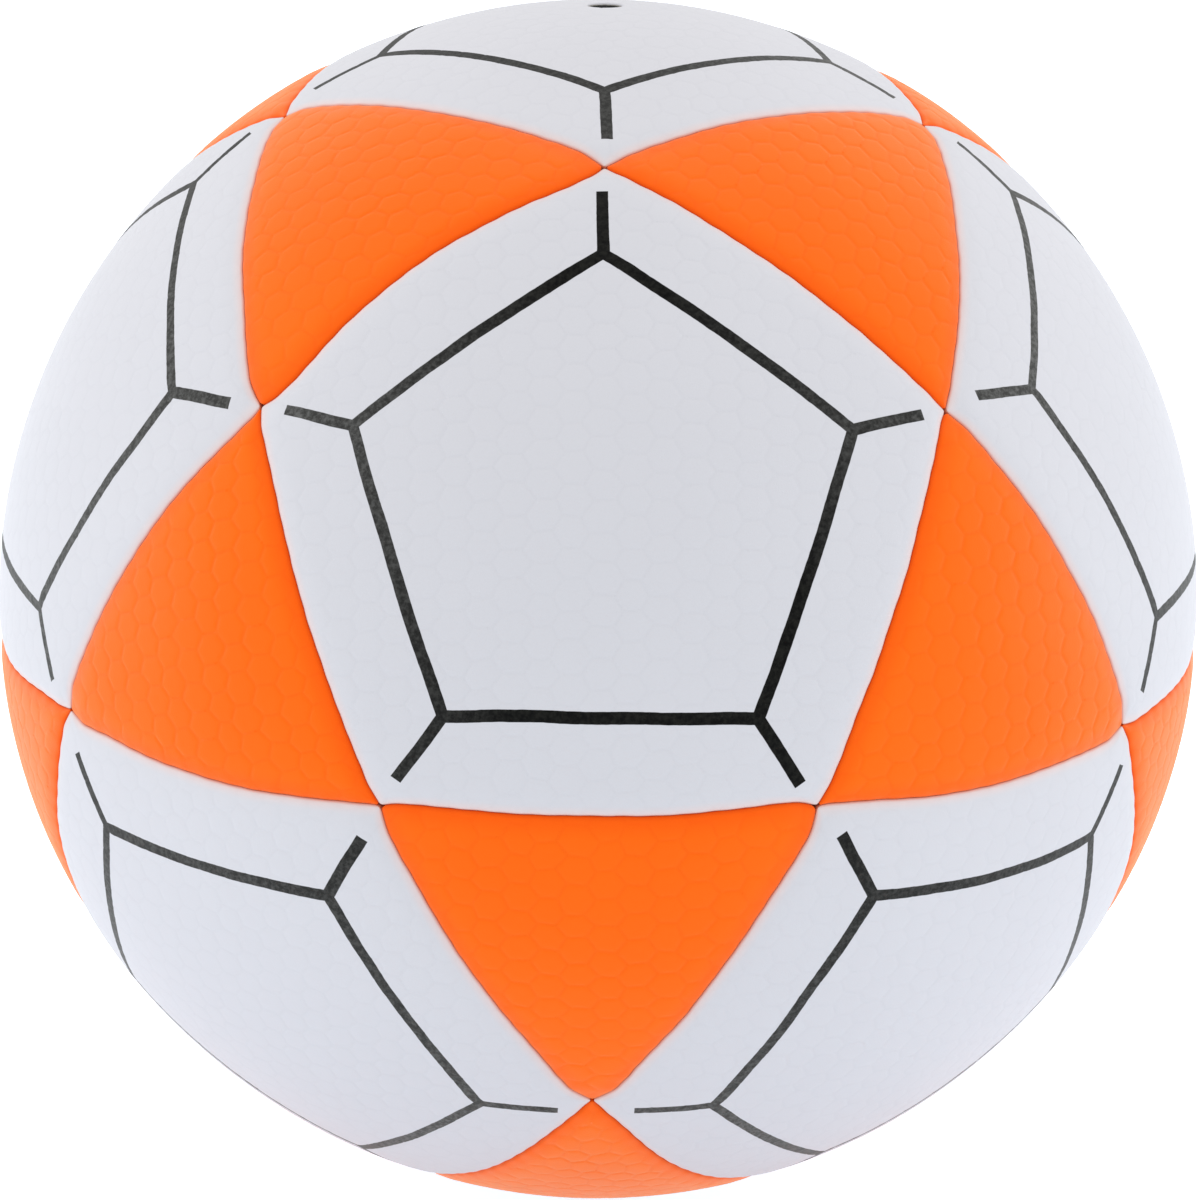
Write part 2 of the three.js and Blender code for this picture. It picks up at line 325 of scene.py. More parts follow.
def orange_cover():
    """The orange panels' skin, with painted shade: a deeper orange towards the seams."""
    material, shader, recipe = finish("pressed_orange_skin", ORANGE_ROUGHNESS, 0.05, 0.35)
    shader.inputs["Sheen Tint"].default_value = ORANGE_SHEEN
    seam = recipe.split(recipe.attribute("sheet", 1))[2]
    place = recipe.place()
    cloud = recipe.noise(place, ORANGE_CLOUDS, 3.0)
    grain = leather_grain(recipe, place)
    skin = recipe.blend(cloud, *ORANGE_SKIN)
    # Painted shade: a deeper orange within 4 mm of the seam
    painted_shoulder_shade = recipe.ease(seam, 4.0, 0.0)
    skin = recipe.blend(painted_shoulder_shade * 0.4, skin, ORANGE_SHOULDER_SHADE)
    # Painted shade: a dark red within the last millimetre at the seam
    fold = recipe.ease(seam, 0.7, -0.4)
    skin = recipe.blend(fold * 0.5, skin, ORANGE_CREASE_SHADE)
    # Painted shade: a deeper orange at the bottom of the tile grooves
    skin = recipe.blend(in_grooves(recipe) * 0.09, skin, ORANGE_GROOVE_SHADE)
    join(
        recipe,
        shader,
        Base_Color=skin,
        Roughness=gloss(recipe, place, ORANGE_ROUGHNESS),
        Normal=relief(recipe, grain * GRAIN_HEIGHT),
    )
    return material


def woven(name, colours, count):
    """Plain weave of a thread count, as on the cover's backing and on the patch."""
    material, shader, recipe = finish(name, 0.9, 0.2, 0.2)
    place = recipe.place()
    x, y, z = recipe.split(place)
    warp = recipe.maths("SINE", (x + z * 0.5) * count)
    weft = recipe.maths("SINE", (y + z * 0.5) * count)
    over = recipe.ease(warp * weft, -0.8, 0.8)
    tone = over * 0.7 + recipe.noise(place, 1500.0) * 0.3
    join(
        recipe,
        shader,
        Base_Color=recipe.blend(tone, *colours),
        Roughness=0.95 - over * 0.1,
        Normal=relief(recipe, over * WEAVE_HEIGHT),
    )
    return material


def rubber(name, colours, roughness):
    """Moulded rubber with a faint grey bloom."""
    material, shader, recipe = finish(name, roughness, 0.25)
    place = recipe.place()
    patches = recipe.ease(recipe.noise(place, 160.0, 4.0, 0.6), 0.4, 0.75)
    specks = recipe.noise(place, 2400.0, 2.0)
    join(
        recipe,
        shader,
        Base_Color=recipe.blend(patches, *colours),
        Roughness=roughness - 0.06 + specks * 0.12,
        Normal=relief(recipe, specks * RUBBER_HEIGHT),
    )
    return material


def waxed_thread():
    """The sewing thread, twisted and waxed."""
    material, shader, recipe = finish("waxed_thread", 0.5, 0.4)
    x, y, z = recipe.split(recipe.place())
    twist = recipe.maths("SINE", (x + y + z) * THREAD_TWIST)
    strand = recipe.ease(twist, -1.0, 1.0)
    join(
        recipe,
        shader,
        Base_Color=recipe.blend(strand, *THREAD_COLOURS),
        Roughness=0.42 + strand * 0.15,
        Normal=relief(recipe, strand * TWIST_HEIGHT),
    )
    return material


finishes = {
    "white": white_cover(),
    "orange": orange_cover(),
    "backing": woven("backing_weave", BACKING_COLOURS, BACKING_COUNT),
    "patch": woven("patch_weave", PATCH_COLOURS, PATCH_COUNT),
    "bladder": rubber("butyl_rubber", BLADDER_COLOURS, 0.5),
    "valve": rubber("moulded_rubber", VALVE_COLOURS, 0.6),
    "thread": waxed_thread(),
}

# Sizes of the cover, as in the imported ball
BALL_RADIUS = 110.0
COVER_THICKNESS = 3.0
PANEL_CROWN = 0.2  # how much lower a panel lies at its seams than at its middle
SHOULDER_WIDTH = 4.5  # how far in from a seam a panel starts to roll over
SHOULDER_DEPTH = 0.55
CREASE_WIDTH = 0.9  # the tighter fold at the end of the shoulder
CREASE_DEPTH = 0.35
CORNER_SINK = 0.3  # how much deeper four panels meet at a corner
CORNER_SPREAD = 3.0
SEAM_GAP = 0.08
SEAM_BOW = 0.55  # how far a seam's middle bows from the even line, into its white panel
SIDE_ANGLE = math.pi / 5
HALF_SIDE = BALL_RADIUS * SIDE_ANGLE / 2
STITCH_PITCH = 4.6
STITCH_TUG = 0.12  # how much deeper the cover lies next to a stitch
TUG_REACH = 1.4
# How unevenly the shoulders are pulled in, how wavy the cover is, over what length, and the seeds
FIRMNESS, FIRMNESS_LENGTH, FIRMNESS_SEED = 0.14, 26.0, 31
WAVINESS, WAVINESS_LENGTH, WAVINESS_SEED = 0.05, 34.0, 32

# The tiles pressed into the cover
TILE_PITCH = 4.85
TILE_STRETCH = 1.1
TILE_WANDER = 0.4
TILE_WANDER_LENGTH, TILE_WAVES = 10.0, 7
TILE_SHIFT = 3
# A tile's rings of mesh points: a share of its size and a count, which divides the rim's
TILE_RINGS = ((1.0, 24), (0.885, 24), (0.66, 12), (0.33, 6))
TILE_RIM = 24

SIDE_POINTS = 128
SIDE_CROWDING = 0.35  # how much closer a side's points lie towards its ends
CORNER_CUT = 1.1  # how much of each side goes into the rounding of a corner
CORNER_POINTS = 5
ROW_INSETS = (0.012, 0.05, 0.11, 0.21, 0.36, 0.58, 0.85, 1.17, 1.53, 1.92)
ROW_KEPT = 0.93  # the share of its inset that a row's point has to have from every seam
TILE_MARGIN = 2.25


def unit(vectors):
    vectors = np.asarray(vectors, float)
    return vectors / np.linalg.norm(vectors, axis=-1, keepdims=True)


def direction(azimuth, elevation):
    level = math.cos(elevation)
    return np.array([level * math.cos(azimuth), level * math.sin(azimuth), math.sin(elevation)])


def lay_flat(directions):
    """Places on the flat sheet, with its middle on +Z and lengths along its radii kept."""
    polar = np.arccos(np.clip(directions[:, 2], -1, 1))
    turn = np.arctan2(directions[:, 1], directions[:, 0])
    return BALL_RADIUS * polar[:, None] * np.column_stack([np.cos(turn), np.sin(turn)])


def wrap(sheet):
    """The directions of places on the flat sheet."""
    reach = np.hypot(sheet[:, 0], sheet[:, 1])
    polar = reach / BALL_RADIUS
    across = sheet / np.maximum(reach, 1e-9)[:, None]
    return np.column_stack([across * np.sin(polar)[:, None], np.cos(polar)])


WAVE_RANGE = (0.75, 1.4)  # of the lengths of a swell's waves, as shares of its wavelength


def swell(places, seed, wavelength, waves=9):
    """A smooth random value from about -1 to 1 that depends only on the place."""
    draw = np.random.default_rng(seed)
    total = np.zeros(len(places))
    for _ in range(waves):
        heading = unit(draw.normal(size=places.shape[1]))
        wavenumber = 2 * math.pi / (wavelength * draw.uniform(*WAVE_RANGE))
        total += np.sin(places @ heading * wavenumber + draw.uniform(0, 2 * math.pi))
    return total / math.sqrt(waves / 2) / 2


class Shape:
    """A kind of panel, with its middle on +Z and its first corner towards +X."""

    def __init__(self, sides, corner_polar, bow):
        self.sides = sides
        self.bow = bow
        self.corner_polar = corner_polar
        self.sector = 2 * math.pi / sides
        out, level = math.sin(corner_polar), math.cos(corner_polar)
        self.corners = np.array([[*self.rotation(i)[:, 0] * out, level] for i in range(sides)])
        after = np.roll(self.corners, -1, axis=0)
        self.outwards = unit(np.cross(after, self.corners))
        self.mid_sides = unit(self.corners + after)
        self.along = unit(after - self.corners)
        self.reach = BALL_RADIUS * math.acos(self.mid_sides[0][2])
        self.corner_half = math.asin(min(1.0, math.cos(math.pi / sides) / math.cos(SIDE_ANGLE / 2)))
        self.ring = self.outline()

    def rotation(self, count):
        c, s = math.cos(self.sector * count), math.sin(self.sector * count)
        return np.array([[c, -s], [s, c]])

    def arc(self, side, share):
        """Places on a side's great circle, where share runs from -1 to 1 along the side."""
        angle = share * SIDE_ANGLE / 2
        across = np.outer(np.cos(angle), self.mid_sides[side])
        return across + np.outer(np.sin(angle), self.along[side])

    def bowed(self, share):
        """How far a seam lies outside its great circle at a share of its half length."""
        return self.bow * (1 - np.clip(np.abs(share), 0, 1) ** 4)

    def outline(self):
        """The panel's edge on the sheet, anticlockwise, with its corners rounded."""
        end = 1 - CORNER_CUT / HALF_SIDE
        even = np.linspace(-1, 1, SIDE_POINTS)
        share = end * (even + SIDE_CROWDING * np.sin(math.pi * even) / math.pi)
        offset = (self.bowed(share) - SEAM_GAP / 2) / BALL_RADIUS
        arc = self.arc(0, share) * np.cos(offset)[:, None]
        side = lay_flat(arc + np.outer(np.sin(offset), self.outwards[0]))
        inset = SEAM_GAP / 2 / math.sin(self.corner_half)
        tip = np.array([BALL_RADIUS * self.corner_polar - inset, 0.0])
        spin = self.rotation(1)
        start, finish_at = side[-1], side[0] @ spin.T
        control = tip @ spin.T
        steps = np.arange(1, CORNER_POINTS + 1)[:, None] / (CORNER_POINTS + 1)
        bend = (1 - steps) ** 2 * start + 2 * steps * (1 - steps) * control + steps**2 * finish_at
        one = np.vstack([side, bend])
        return np.vstack([one @ self.rotation(i).T for i in range(self.sides)])

    def from_seams(self, directions):
        """Each place's distance in from every seam, and its distance from every seam's middle."""
        lateral = np.arcsin(np.clip(directions @ self.outwards.T, -1, 1)) * BALL_RADIUS
        angle = np.arctan2(directions @ self.along.T, directions @ self.mid_sides.T)
        share = angle / (SIDE_ANGLE / 2)
        return self.bowed(share) - SEAM_GAP / 2 - lateral, share * HALF_SIDE

    def inset(self, sheet):
        """Each place's distance in from the nearest seam."""
        return self.from_seams(wrap(sheet))[0].min(axis=1)

    def corner_gap(self, directions):
        """Each place's distance from the nearest corner."""
        nearest = np.clip((directions @ self.corners.T).max(axis=1), -1, 1)
        return BALL_RADIUS * np.arccos(nearest)


NEIGHBOUR = math.atan(2)  # the angle between the middles of neighbouring white panels
ELEVATION = math.atan(0.5)
TOP = np.array([0.0, 0.0, 1.0])
UPPER = [direction(-math.pi / 2 + SECTOR * k, ELEVATION) for k in range(5)]
LOWER = [direction(-math.pi / 2 + SECTOR * (k + 0.5), -ELEVATION) for k in range(5)]
WHITES = np.array([TOP, *UPPER, *LOWER, -TOP])


def beside(first, second):
    """Whether white panels with these middles are neighbours."""
    return np.abs(first @ second - math.cos(NEIGHBOUR)) < 0.01


cap_corner = unit(TOP + UPPER[0]) @ unit(TOP + UPPER[0] + UPPER[1])
pentagon = Shape(5, NEIGHBOUR / 2, -SEAM_BOW)
triangle = Shape(3, math.acos(cap_corner), SEAM_BOW)


def white_corners(middle):
    """The corners of the white panel that has this middle."""
    return unit(WHITES[beside(WHITES, middle)] + middle)


def panel_axes(middle, corners):
    """The turn from a panel's own axes to the ball's. Its first corner is the one that points
    most nearly straight up or down the ball."""
    level = np.array([0.0, -1.0, 0.0]) if abs(middle[2]) > 0.99 else TOP
    up = unit(level - middle * (level @ middle))
    tangents = unit(corners - np.outer(corners @ middle, middle))
    first = tangents[np.argmax(np.abs(tangents @ up).round(6))]
    return np.column_stack([first, np.cross(middle, first), middle])


WANDER = 0.13  # how far the sewing strays along and across the ball, in long waves and short
LONG_WAVE, SHORT_WAVE, SHORT_SHARE = 19.0, 8.0, 0.4
WANDER_SEEDS = ((11, 21), (12, 22), (13, 23))
# The middles of the white panels, for the tables below
PANELS = {"top": TOP, "base": -TOP}
PANELS.update({f"u{k + 1}": UPPER[k] for k in range(5)})
PANELS.update({f"l{k + 1}": LOWER[k] for k in range(5)})
# How far corners (two white panels) and seams (the white panel that has the seam, and those past
# its two ends) lie from their even places, to the east and to the north
PULLS = (
    ("top u1", 0.21, -0.86),
    ("top u2", 0.83, -0.35),
    ("top u5", -1.5, 0.15),
    ("base l1", -1.2, -1.9),
    ("base l5", 1.3, -2.0),
    ("l1 u1", 0.63, 0.91),
    ("u1 u5", 1.07, -0.48),
    ("l5 u1", -0.08, 0.46),
    ("l1 u2", -0.67, 0.31),
    ("l1 l5", -0.08, 2.16),
    ("l5 u5", 0.23, 1.12),
    ("top u1 u2", 0.11, -0.41),
    ("top u1 u5", 0.38, -0.54),
    ("u1 top u2", -0.4, 0.1),
    ("u1 top u5", -0.48, 0.83),
    ("top u2 u3", 0.94, -1.85),
    ("u2 top u1", -0.33, -1.23),
    ("u2 top u3", 2.1, 1.4),
    ("top u4 u5", -0.6, -2.3),
    ("u5 top u1", -0.85, -1.11),
    ("u5 top u4", -1.86, 0.77),
    ("base l1 l5", 0.0, -1.05),
    ("l1 base l5", -1.97, -0.96),
    ("l5 base l1", 1.32, -0.17),
    ("u1 l1 l5", -0.73, 0.35),
    ("l1 u1 u2", 0.8, -0.69),
    ("u2 l1 u1", 0.9, 0.03),
    ("u1 l5 u5", 0.03, -0.98),
    ("u5 l5 u1", -0.42, 0.17),
    ("l5 u1 u5", -0.32, -0.69),
    ("l1 l2 u2", 2.0, 1.5),
    ("u2 l1 l2", 0.11, -2.07),
    ("u5 l4 l5", -0.4, -2.3),
    ("l5 l4 u5", -2.1, 1.3),
)
PULL_SPREAD = 24.0
STILL_RADIUS = 14.0  # round the valve, whose hole keeps its place
# How blunt (or, below zero, how sharp) orange corners are: the corner's two white panels, and
# the third one round its triangle
TIPS = {
    ("top u1", "u5"): 0.74,
    ("top u2", "u1"): 0.57,
    ("top u2", "u3"): -0.8,
    ("top u5", "u1"): 0.68,
    ("top u5", "u4"): -0.43,
    ("u1 u2", "l1"): 0.49,
    ("u1 u5", "top"): 1.14,
    ("u1 u5", "l5"): -0.8,
    ("l5 u1", "l1"): 0.58,
    ("l5 u1", "u5"): -0.43,
    ("l1 u2", "u1"): 1.13,
    ("l1 u2", "l2"): -0.8,
    ("l1 l5", "u1"): 1.27,
    ("l5 u5", "u1"): 0.89,
    ("l5 u5", "l4"): -0.77,
}
TIP_LENGTH = 4.0
TIP_HALF_WIDTH = 0.5  # of a corner, at its very point
TIP_SPREAD = 0.68  # how much wider that is for each millimetre further in
TIP_REACH = 0.96  # the cosine past which a corner's bluntness has died away
TIP_SEED = 21  # of the corners out of sight
BLUNT_TIPS, SHARP_TIPS = (0.5, 1.2), (-0.7, -0.2)


def pull_place(names):
    """The direction of a corner (two names) or of a seam's middle (three)."""
    first, *others = (PANELS[name] for name in names.split())
    return unit(sum(unit(first + other) for other in others))


def all_tips():
    """Every orange corner with its triangle's middle and its bluntness."""
    draw = np.random.default_rng(TIP_SEED)
    tips = []
    for (first, one), (second, other) in combinations(PANELS.items(), 2):
        if not beside(one, other):
            continue
        pair = " ".join(sorted((first, second)))
        thirds = [n for n, spot in PANELS.items() if beside(spot, one) and beside(spot, other)]
        known = any((pair, third) in TIPS for third in thirds)
        guess = draw.permutation([draw.uniform(*BLUNT_TIPS), draw.uniform(*SHARP_TIPS)])
        for third, value in zip(thirds, guess):
            amount = TIPS.get((pair, third), 0.0) if known else value
            tips.append((unit(one + other), unit(one + other + PANELS[third]), amount))
    return tips


TIP_LIST = all_tips()


def tip_bulge(directions, corner, middle):
    """How far a blunt corner's two seams are spread apart, and which way."""
    inward = unit(middle - corner * (middle @ corner))
    across = np.cross(corner, inward)
    ahead = np.maximum(BALL_RADIUS * directions @ inward, 0)
    aside = BALL_RADIUS * directions @ across / (TIP_HALF_WIDTH + TIP_SPREAD * ahead)
    reach = ahead / TIP_LENGTH * np.exp(1 - ahead / TIP_LENGTH)
    return np.outer(reach * aside * np.exp((1 - aside**2) / 2), across)


def stray(directions):
    """Moves places a little along the ball, alike in all that is sewn together there."""
    places = directions * BALL_RADIUS
    waves = [
        swell(places, long, LONG_WAVE) + SHORT_SHARE * swell(places, short, SHORT_WAVE)
        for long, short in WANDER_SEEDS
    ]
    drift = WANDER * np.column_stack(waves)
    for names, east, north in PULLS:
        spot = pull_place(names)
        eastwards = unit(np.cross(TOP, spot))
        pull = east * eastwards + north * np.cross(spot, eastwards)
        gap = BALL_RADIUS * np.linalg.norm(directions - spot, axis=1)
        drift += np.outer(np.exp(-((gap / PULL_SPREAD) ** 2)), pull)
    for corner, middle, amount in TIP_LIST:
        close = directions @ corner > TIP_REACH
        drift[close] += amount * tip_bulge(directions[close], corner, middle)
    from_valve = BALL_RADIUS * np.linalg.norm(directions - TOP, axis=1)
    drift *= (1 - np.exp(-((from_valve / STILL_RADIUS) ** 4)))[:, None]
    return unit(directions + drift / BALL_RADIUS)


# The print on the white panels that the photograph shows: how thin it is at the line pentagon's
# corners, where thin print is a lighter grey that is partly painted sheen of the glossy ink, and
# how far it lies from its even place, for the corners (both ways), the sides' middles (outwards)
# and the spokes' ends (sideways)
PRINTS = {
    "white_panel_valve": (
        (0.5, 0.62, 0.45, 0.45, 0.95),
        ((-0.4, -0.3), (-0.9, -1.3), (0.0, 0.0), (0.0, 0.0), (-1.7, 1.3)),
        (1.0, 0.0, 0.0, 0.0, 0.9),
        (0.7, 0.2, 0.0, 0.0, 0.0),
    ),
    "white_panel_upper_1": (
        (0.1, 0.7, 0.8, 0.45, 0.72),
        ((-1.2, 0.1), (-0.1, -0.3), (0.3, -0.5), (0.0, -0.1), (-0.4, 0.1)),
        (-0.7, -0.2, 0.0, 0.1, 0.1),
        (0.4, 0.0, -0.3, -0.6, 0.2),
    ),
    "white_panel_lower_1": (
        (1.6, 0.9, 0.3, 0.5, 0.8),
        ((0.7, -0.5), (0.4, -1.2), (2.2, 1.5), (0.3, 0.9), (0.7, 2.1)),
        (0.0, -1.2, 0.6, 1.6, -0.8),
        (0.0, 0.0, -0.8, -0.4, 0.6),
    ),
    "white_panel_upper_2": (
        (0.84, 0.92, 0.51, 1.66, 0.68),
        ((-1.2, -0.9), (0.6, -1.6), (0.4, -1.9), (0.2, 0.0), (0.0, 0.0)),
        (1.1, 1.5, -0.5, 0.0, 0.0),
        (0.0, -0.5, 0.5, 0.0, 0.0),
    ),
    "white_panel_upper_5": (
        (0.62, 0.87, 1.36, 0.59, 0.3),
        ((-1.2, 0.3), (-0.2, -0.2), (1.1, 0.0), (-0.8, 2.0), (-0.8, -0.1)),
        (-0.4, 0.0, -1.1, 2.3, 1.6),
        (0.3, 0.0, 0.0, -0.4, 0.2),
    ),
    "white_panel_lower_5": (
        (0.85, 0.7, 0.7, 0.3, 1.1),
        ((0.3, 0.2), (1.5, -0.8), (1.1, 0.0), (2.1, 0.6), (0.1, 0.3)),
        (-0.8, 1.7, 1.6, -1.2, 0.0),
        (0.0, -0.5, 0.1, -0.1, 0.0),
    ),
}
# How much more the print's thinness, with its painted ink sheen, varies, over what length, and the
# seed of its places
FADE_SWELL, FADE_LENGTH, FADE_SEED = 0.6, 160.0, 4105


def printed(sheet, *prints):
    """How thin the print is at places on a white panel's sheet, which also sets its painted ink
    sheen, and how far from its even place.
    """
    thinness, corners, sides, ends = (np.array(values) for values in prints)
    turn = np.arctan2(sheet[:, 1], sheet[:, 0]) % (2 * math.pi)
    side = np.minimum(turn // SECTOR, 4).astype(int)
    after = (side + 1) % 5
    middle = (side + 0.5) * SECTOR
    share = 0.5 + 0.5 * np.tan(turn - middle) / math.tan(SECTOR / 2)
    thin = (1 - share) * thinness[side] + share * thinness[after]
    nearest = np.where(share > 0.5, after, side)
    past = np.hypot(*sheet.T) - LINE_RING_CORNER
    lean = np.clip(past / (LINE_SPOKE_END - LINE_RING_CORNER), 0, 1.5) * abs(2 * share - 1)
    lean *= ends[nearest]
    bow = 4 * share * (1 - share) * sides[side]
    drift = (1 - share)[:, None] * corners[side] + share[:, None] * corners[after]
    drift += bow[:, None] * np.column_stack([np.cos(middle), np.sin(middle)])
    across = nearest * SECTOR
    return thin, drift + lean[:, None] * np.column_stack([-np.sin(across), np.cos(across)])


def near_seams(inward, width):
    """Rises from 0 at a width in from every seam to 1 at a seam."""
    return 1 - np.prod(1 - np.clip(1 - inward / width, 0, 1) ** 2, axis=1)


def corner_sink(shape, directions):
    """How much deeper the cover lies for a corner near by."""
    return CORNER_SINK * np.exp(-((shape.corner_gap(directions) / CORNER_SPREAD) ** 2))


def cover_depth(shape, local, places):
    """How far the cover's outer face lies below the ball's outer sphere."""
    inward, along = shape.from_seams(local)
    fold = np.clip(1 - inward / CREASE_WIDTH, 0, 1)
    crease = 1 - np.prod(np.sqrt(1 - fold**2), axis=1)
    nearest = np.argmin(inward, axis=1)
    rank = np.arange(len(local))
    gap = np.maximum(inward[rank, nearest], 0)
    tug = 0.5 + 0.5 * np.cos(2 * math.pi * along[rank, nearest] / STITCH_PITCH)
    firmness = 1 + FIRMNESS * swell(places, FIRMNESS_SEED, FIRMNESS_LENGTH)
    depth = PANEL_CROWN * near_seams(inward, shape.reach)
    depth = depth + SHOULDER_DEPTH * firmness * near_seams(inward, SHOULDER_WIDTH)
    depth = depth + CREASE_DEPTH * crease
    depth += corner_sink(shape, local) + STITCH_TUG * tug * np.exp(-gap / TUG_REACH)
    return depth + WAVINESS * (1 + swell(places, WAVINESS_SEED, WAVINESS_LENGTH)), gap


# Tiles


class Tiling:
    """The lay of the pressed tiles on one panel: rows of hexagons, a little uneven."""

    def __init__(self, seed, lean):
        draw = np.random.default_rng(seed)
        self.seeds = draw.integers(1000, 9999, 2)
        self.shift = draw.uniform(-TILE_SHIFT, TILE_SHIFT, 2)
        turn = lean - math.pi / 2
        self.turn = np.array([[math.cos(turn), -math.sin(turn)], [math.sin(turn), math.cos(turn)]])

    def uneven(self, spots):
        drifts = [swell(spots, s, TILE_WANDER_LENGTH, TILE_WAVES) for s in self.seeds]
        return TILE_WANDER * np.column_stack(drifts)

    def spots(self, span):
        """Mesh points on the grooves and tops of all tiles out to a span from the middle."""
        half_width = TILE_STRETCH * TILE_PITCH / math.sqrt(3)
        corner = [(1, 0), (0.5, 0.5), (-0.5, 0.5), (-1, 0), (-0.5, -0.5), (0.5, -0.5)]
        corner = np.array([(x * half_width, y * TILE_PITCH) for x, y in corner])
        after = np.roll(corner, -1, axis=0)
        steps = TILE_RIM // 6
        rim = [a + (b - a) * k / steps for a, b in zip(corner, after) for k in range(steps)]
        rings = [np.array(rim)[:: TILE_RIM // count] * share for share, count in TILE_RINGS]
        one = np.vstack([*rings, [[0.0, 0.0]]])
        column = half_width * 1.5
        many = int(span / column) + 2
        middles = [
            (i * column, (j + (i % 2) / 2) * TILE_PITCH)
            for i in range(-many, many + 1)
            for j in range(-many - 1, many + 2)
        ]
        all_spots = (np.array(middles)[:, None] + one[None]).reshape(-1, 2)
        all_spots = np.unique(all_spots.round(4), axis=0)
        return (all_spots + self.uneven(all_spots) + self.shift) @ self.turn.T

    def groove_gap(self, sheet):
        """Each place's distance from the nearest groove."""
        laid = sheet @ self.turn - self.shift
        even = laid
        for _ in range(4):
            even = laid - self.uneven(even)
        even = even / (TILE_STRETCH, 1.0)
        step = np.array([math.sqrt(3) * TILE_PITCH, TILE_PITCH])
        first = even - np.round(even / step) * step
        second = even - (np.round(even / step - 0.5) + 0.5) * step
        near = np.sum(first**2, axis=1) < np.sum(second**2, axis=1)
        off = np.abs(np.where(near[:, None], first, second))
        return TILE_PITCH / 2 - np.maximum(off[:, 1], off[:, 0] * math.sqrt(3) / 2 + off[:, 1] / 2)


# Meshes


def fill(points, rings):
    """Triangles over the points within the first ring and outside the others."""
    edges = []
    first = 0
    for size in rings:
        edges += [(first + i, first + (i + 1) % size) for i in range(size)]
        first += size
    found = delaunay_2d_cdt([Vector(p) for p in points], edges, [], 1, 1e-7)
    if len(found[0]) != len(points):
        raise ValueError("two places of a panel fell together")
    faces = np.array(found[2])
    if len(rings) > 1:
        hole = points[rings[0] : rings[0] + rings[1]]
        centre = hole.mean(axis=0)
        radius = np.linalg.norm(hole - centre, axis=1).min()
        faces = faces[np.linalg.norm(points[faces].mean(axis=1) - centre, axis=1) > radius]
    return faces


def strip(outer, inner):
    """Triangles between two rings of a wall, where the outer one comes first over the fold."""
    after = np.roll(np.arange(len(outer)), -1)
    return np.vstack(
        [
            np.column_stack([outer, inner, inner[after]]),
            np.column_stack([outer, inner[after], outer[after]]),
        ]
    )


def make_mesh(name, places, faces, finish_used=None):
    mesh = bpy.data.meshes.new(name)
    mesh.vertices.add(len(places))
    mesh.vertices.foreach_set("co", (np.asarray(places) * MM).astype(np.float32).ravel())
    mesh.loops.add(faces.size)
    mesh.loops.foreach_set("vertex_index", faces.astype(np.int32).ravel())
    mesh.polygons.add(len(faces))
    mesh.polygons.foreach_set("loop_start", np.arange(len(faces), dtype=np.int32) * faces.shape[1])
    mesh.update(calc_edges=True)
    mesh.validate()
    mesh.shade_smooth()
    if finish_used:
        mesh.materials.append(finish_used)
    return put_in_scene(name, mesh)


def store(mesh, name, kind, domain, key, values):
    """Keeps values on a mesh, as an attribute."""
    mesh.attributes.new(name, kind, domain).data.foreach_set(key, np.asarray(values).ravel())


# Panels
HOLE_RADIUS = 3.05
HOLE_POINTS = 72
HOLE_ROWS = (0.03, 0.11, 0.24, 0.42, 0.66, 0.98, 1.4)
HOLE_MARGIN = 1.7
HOLE_ROUNDING = 0.45
HOLE_DROP = 0.35
# The turned edge, from where the cover goes down into the seam to the root of the allowance:
# a distance in from the seam, and a depth
EDGE_STATIONS = (
    (0.10, 7.42),
    (0.35, 7.5),
    (1.85, 7.5),
    (2.1, 7.42),
    (2.2, 7.15),
    (2.2, 5.0),
    (2.35, 3.9),
    (2.75, 3.35),
    (3.4, 3.2),
)
SEAM_FACE_STEPS = (0.1, 0.4, 0.7, 1.0)
SEAM_FACE_FOOT = 7.15
INNER_STEP = 5.0
INNER_SPAN = 70.0
INNER_MARGIN = 2.0
CLEAR_OF_GROOVES = 9.0  # a distance that no tile's groove reaches
MAP_MARGIN = 8.0  # round the outer face on a panel's map
LINING_MAP = 15.0  # half the width of the map's corner that holds the inner side
LINING_MARGIN = 6.0


class Shell:
    """The vertices and faces of one panel, on its own axes."""

    def __init__(self):
        self.local, self.depth, self.sheet, self.maps = [], [], [], []
        self.faces, self.outside = [], []
        self.count = 0

    def add(self, local, depth, sheet, map_place):
        self.local.append(local)
        self.depth.append(np.broadcast_to(depth, len(local)))
        self.sheet.append(sheet)
        self.maps.append(map_place)
        self.count += len(local)
        return np.arange(self.count - len(local), self.count)

    def cover(self, faces, outside):
        self.faces.append(faces)
        self.outside.append(np.full(len(faces), outside))


def circle(radius, count):
    turn = np.arange(count) * 2 * math.pi / count
    return radius * np.column_stack([np.cos(turn), np.sin(turn)])


def with_seam(sheet, gap):
    """Places on the sheet with their distance in from the seam, as the finishes read them."""
    return np.column_stack([sheet, np.broadcast_to(gap, len(sheet))])


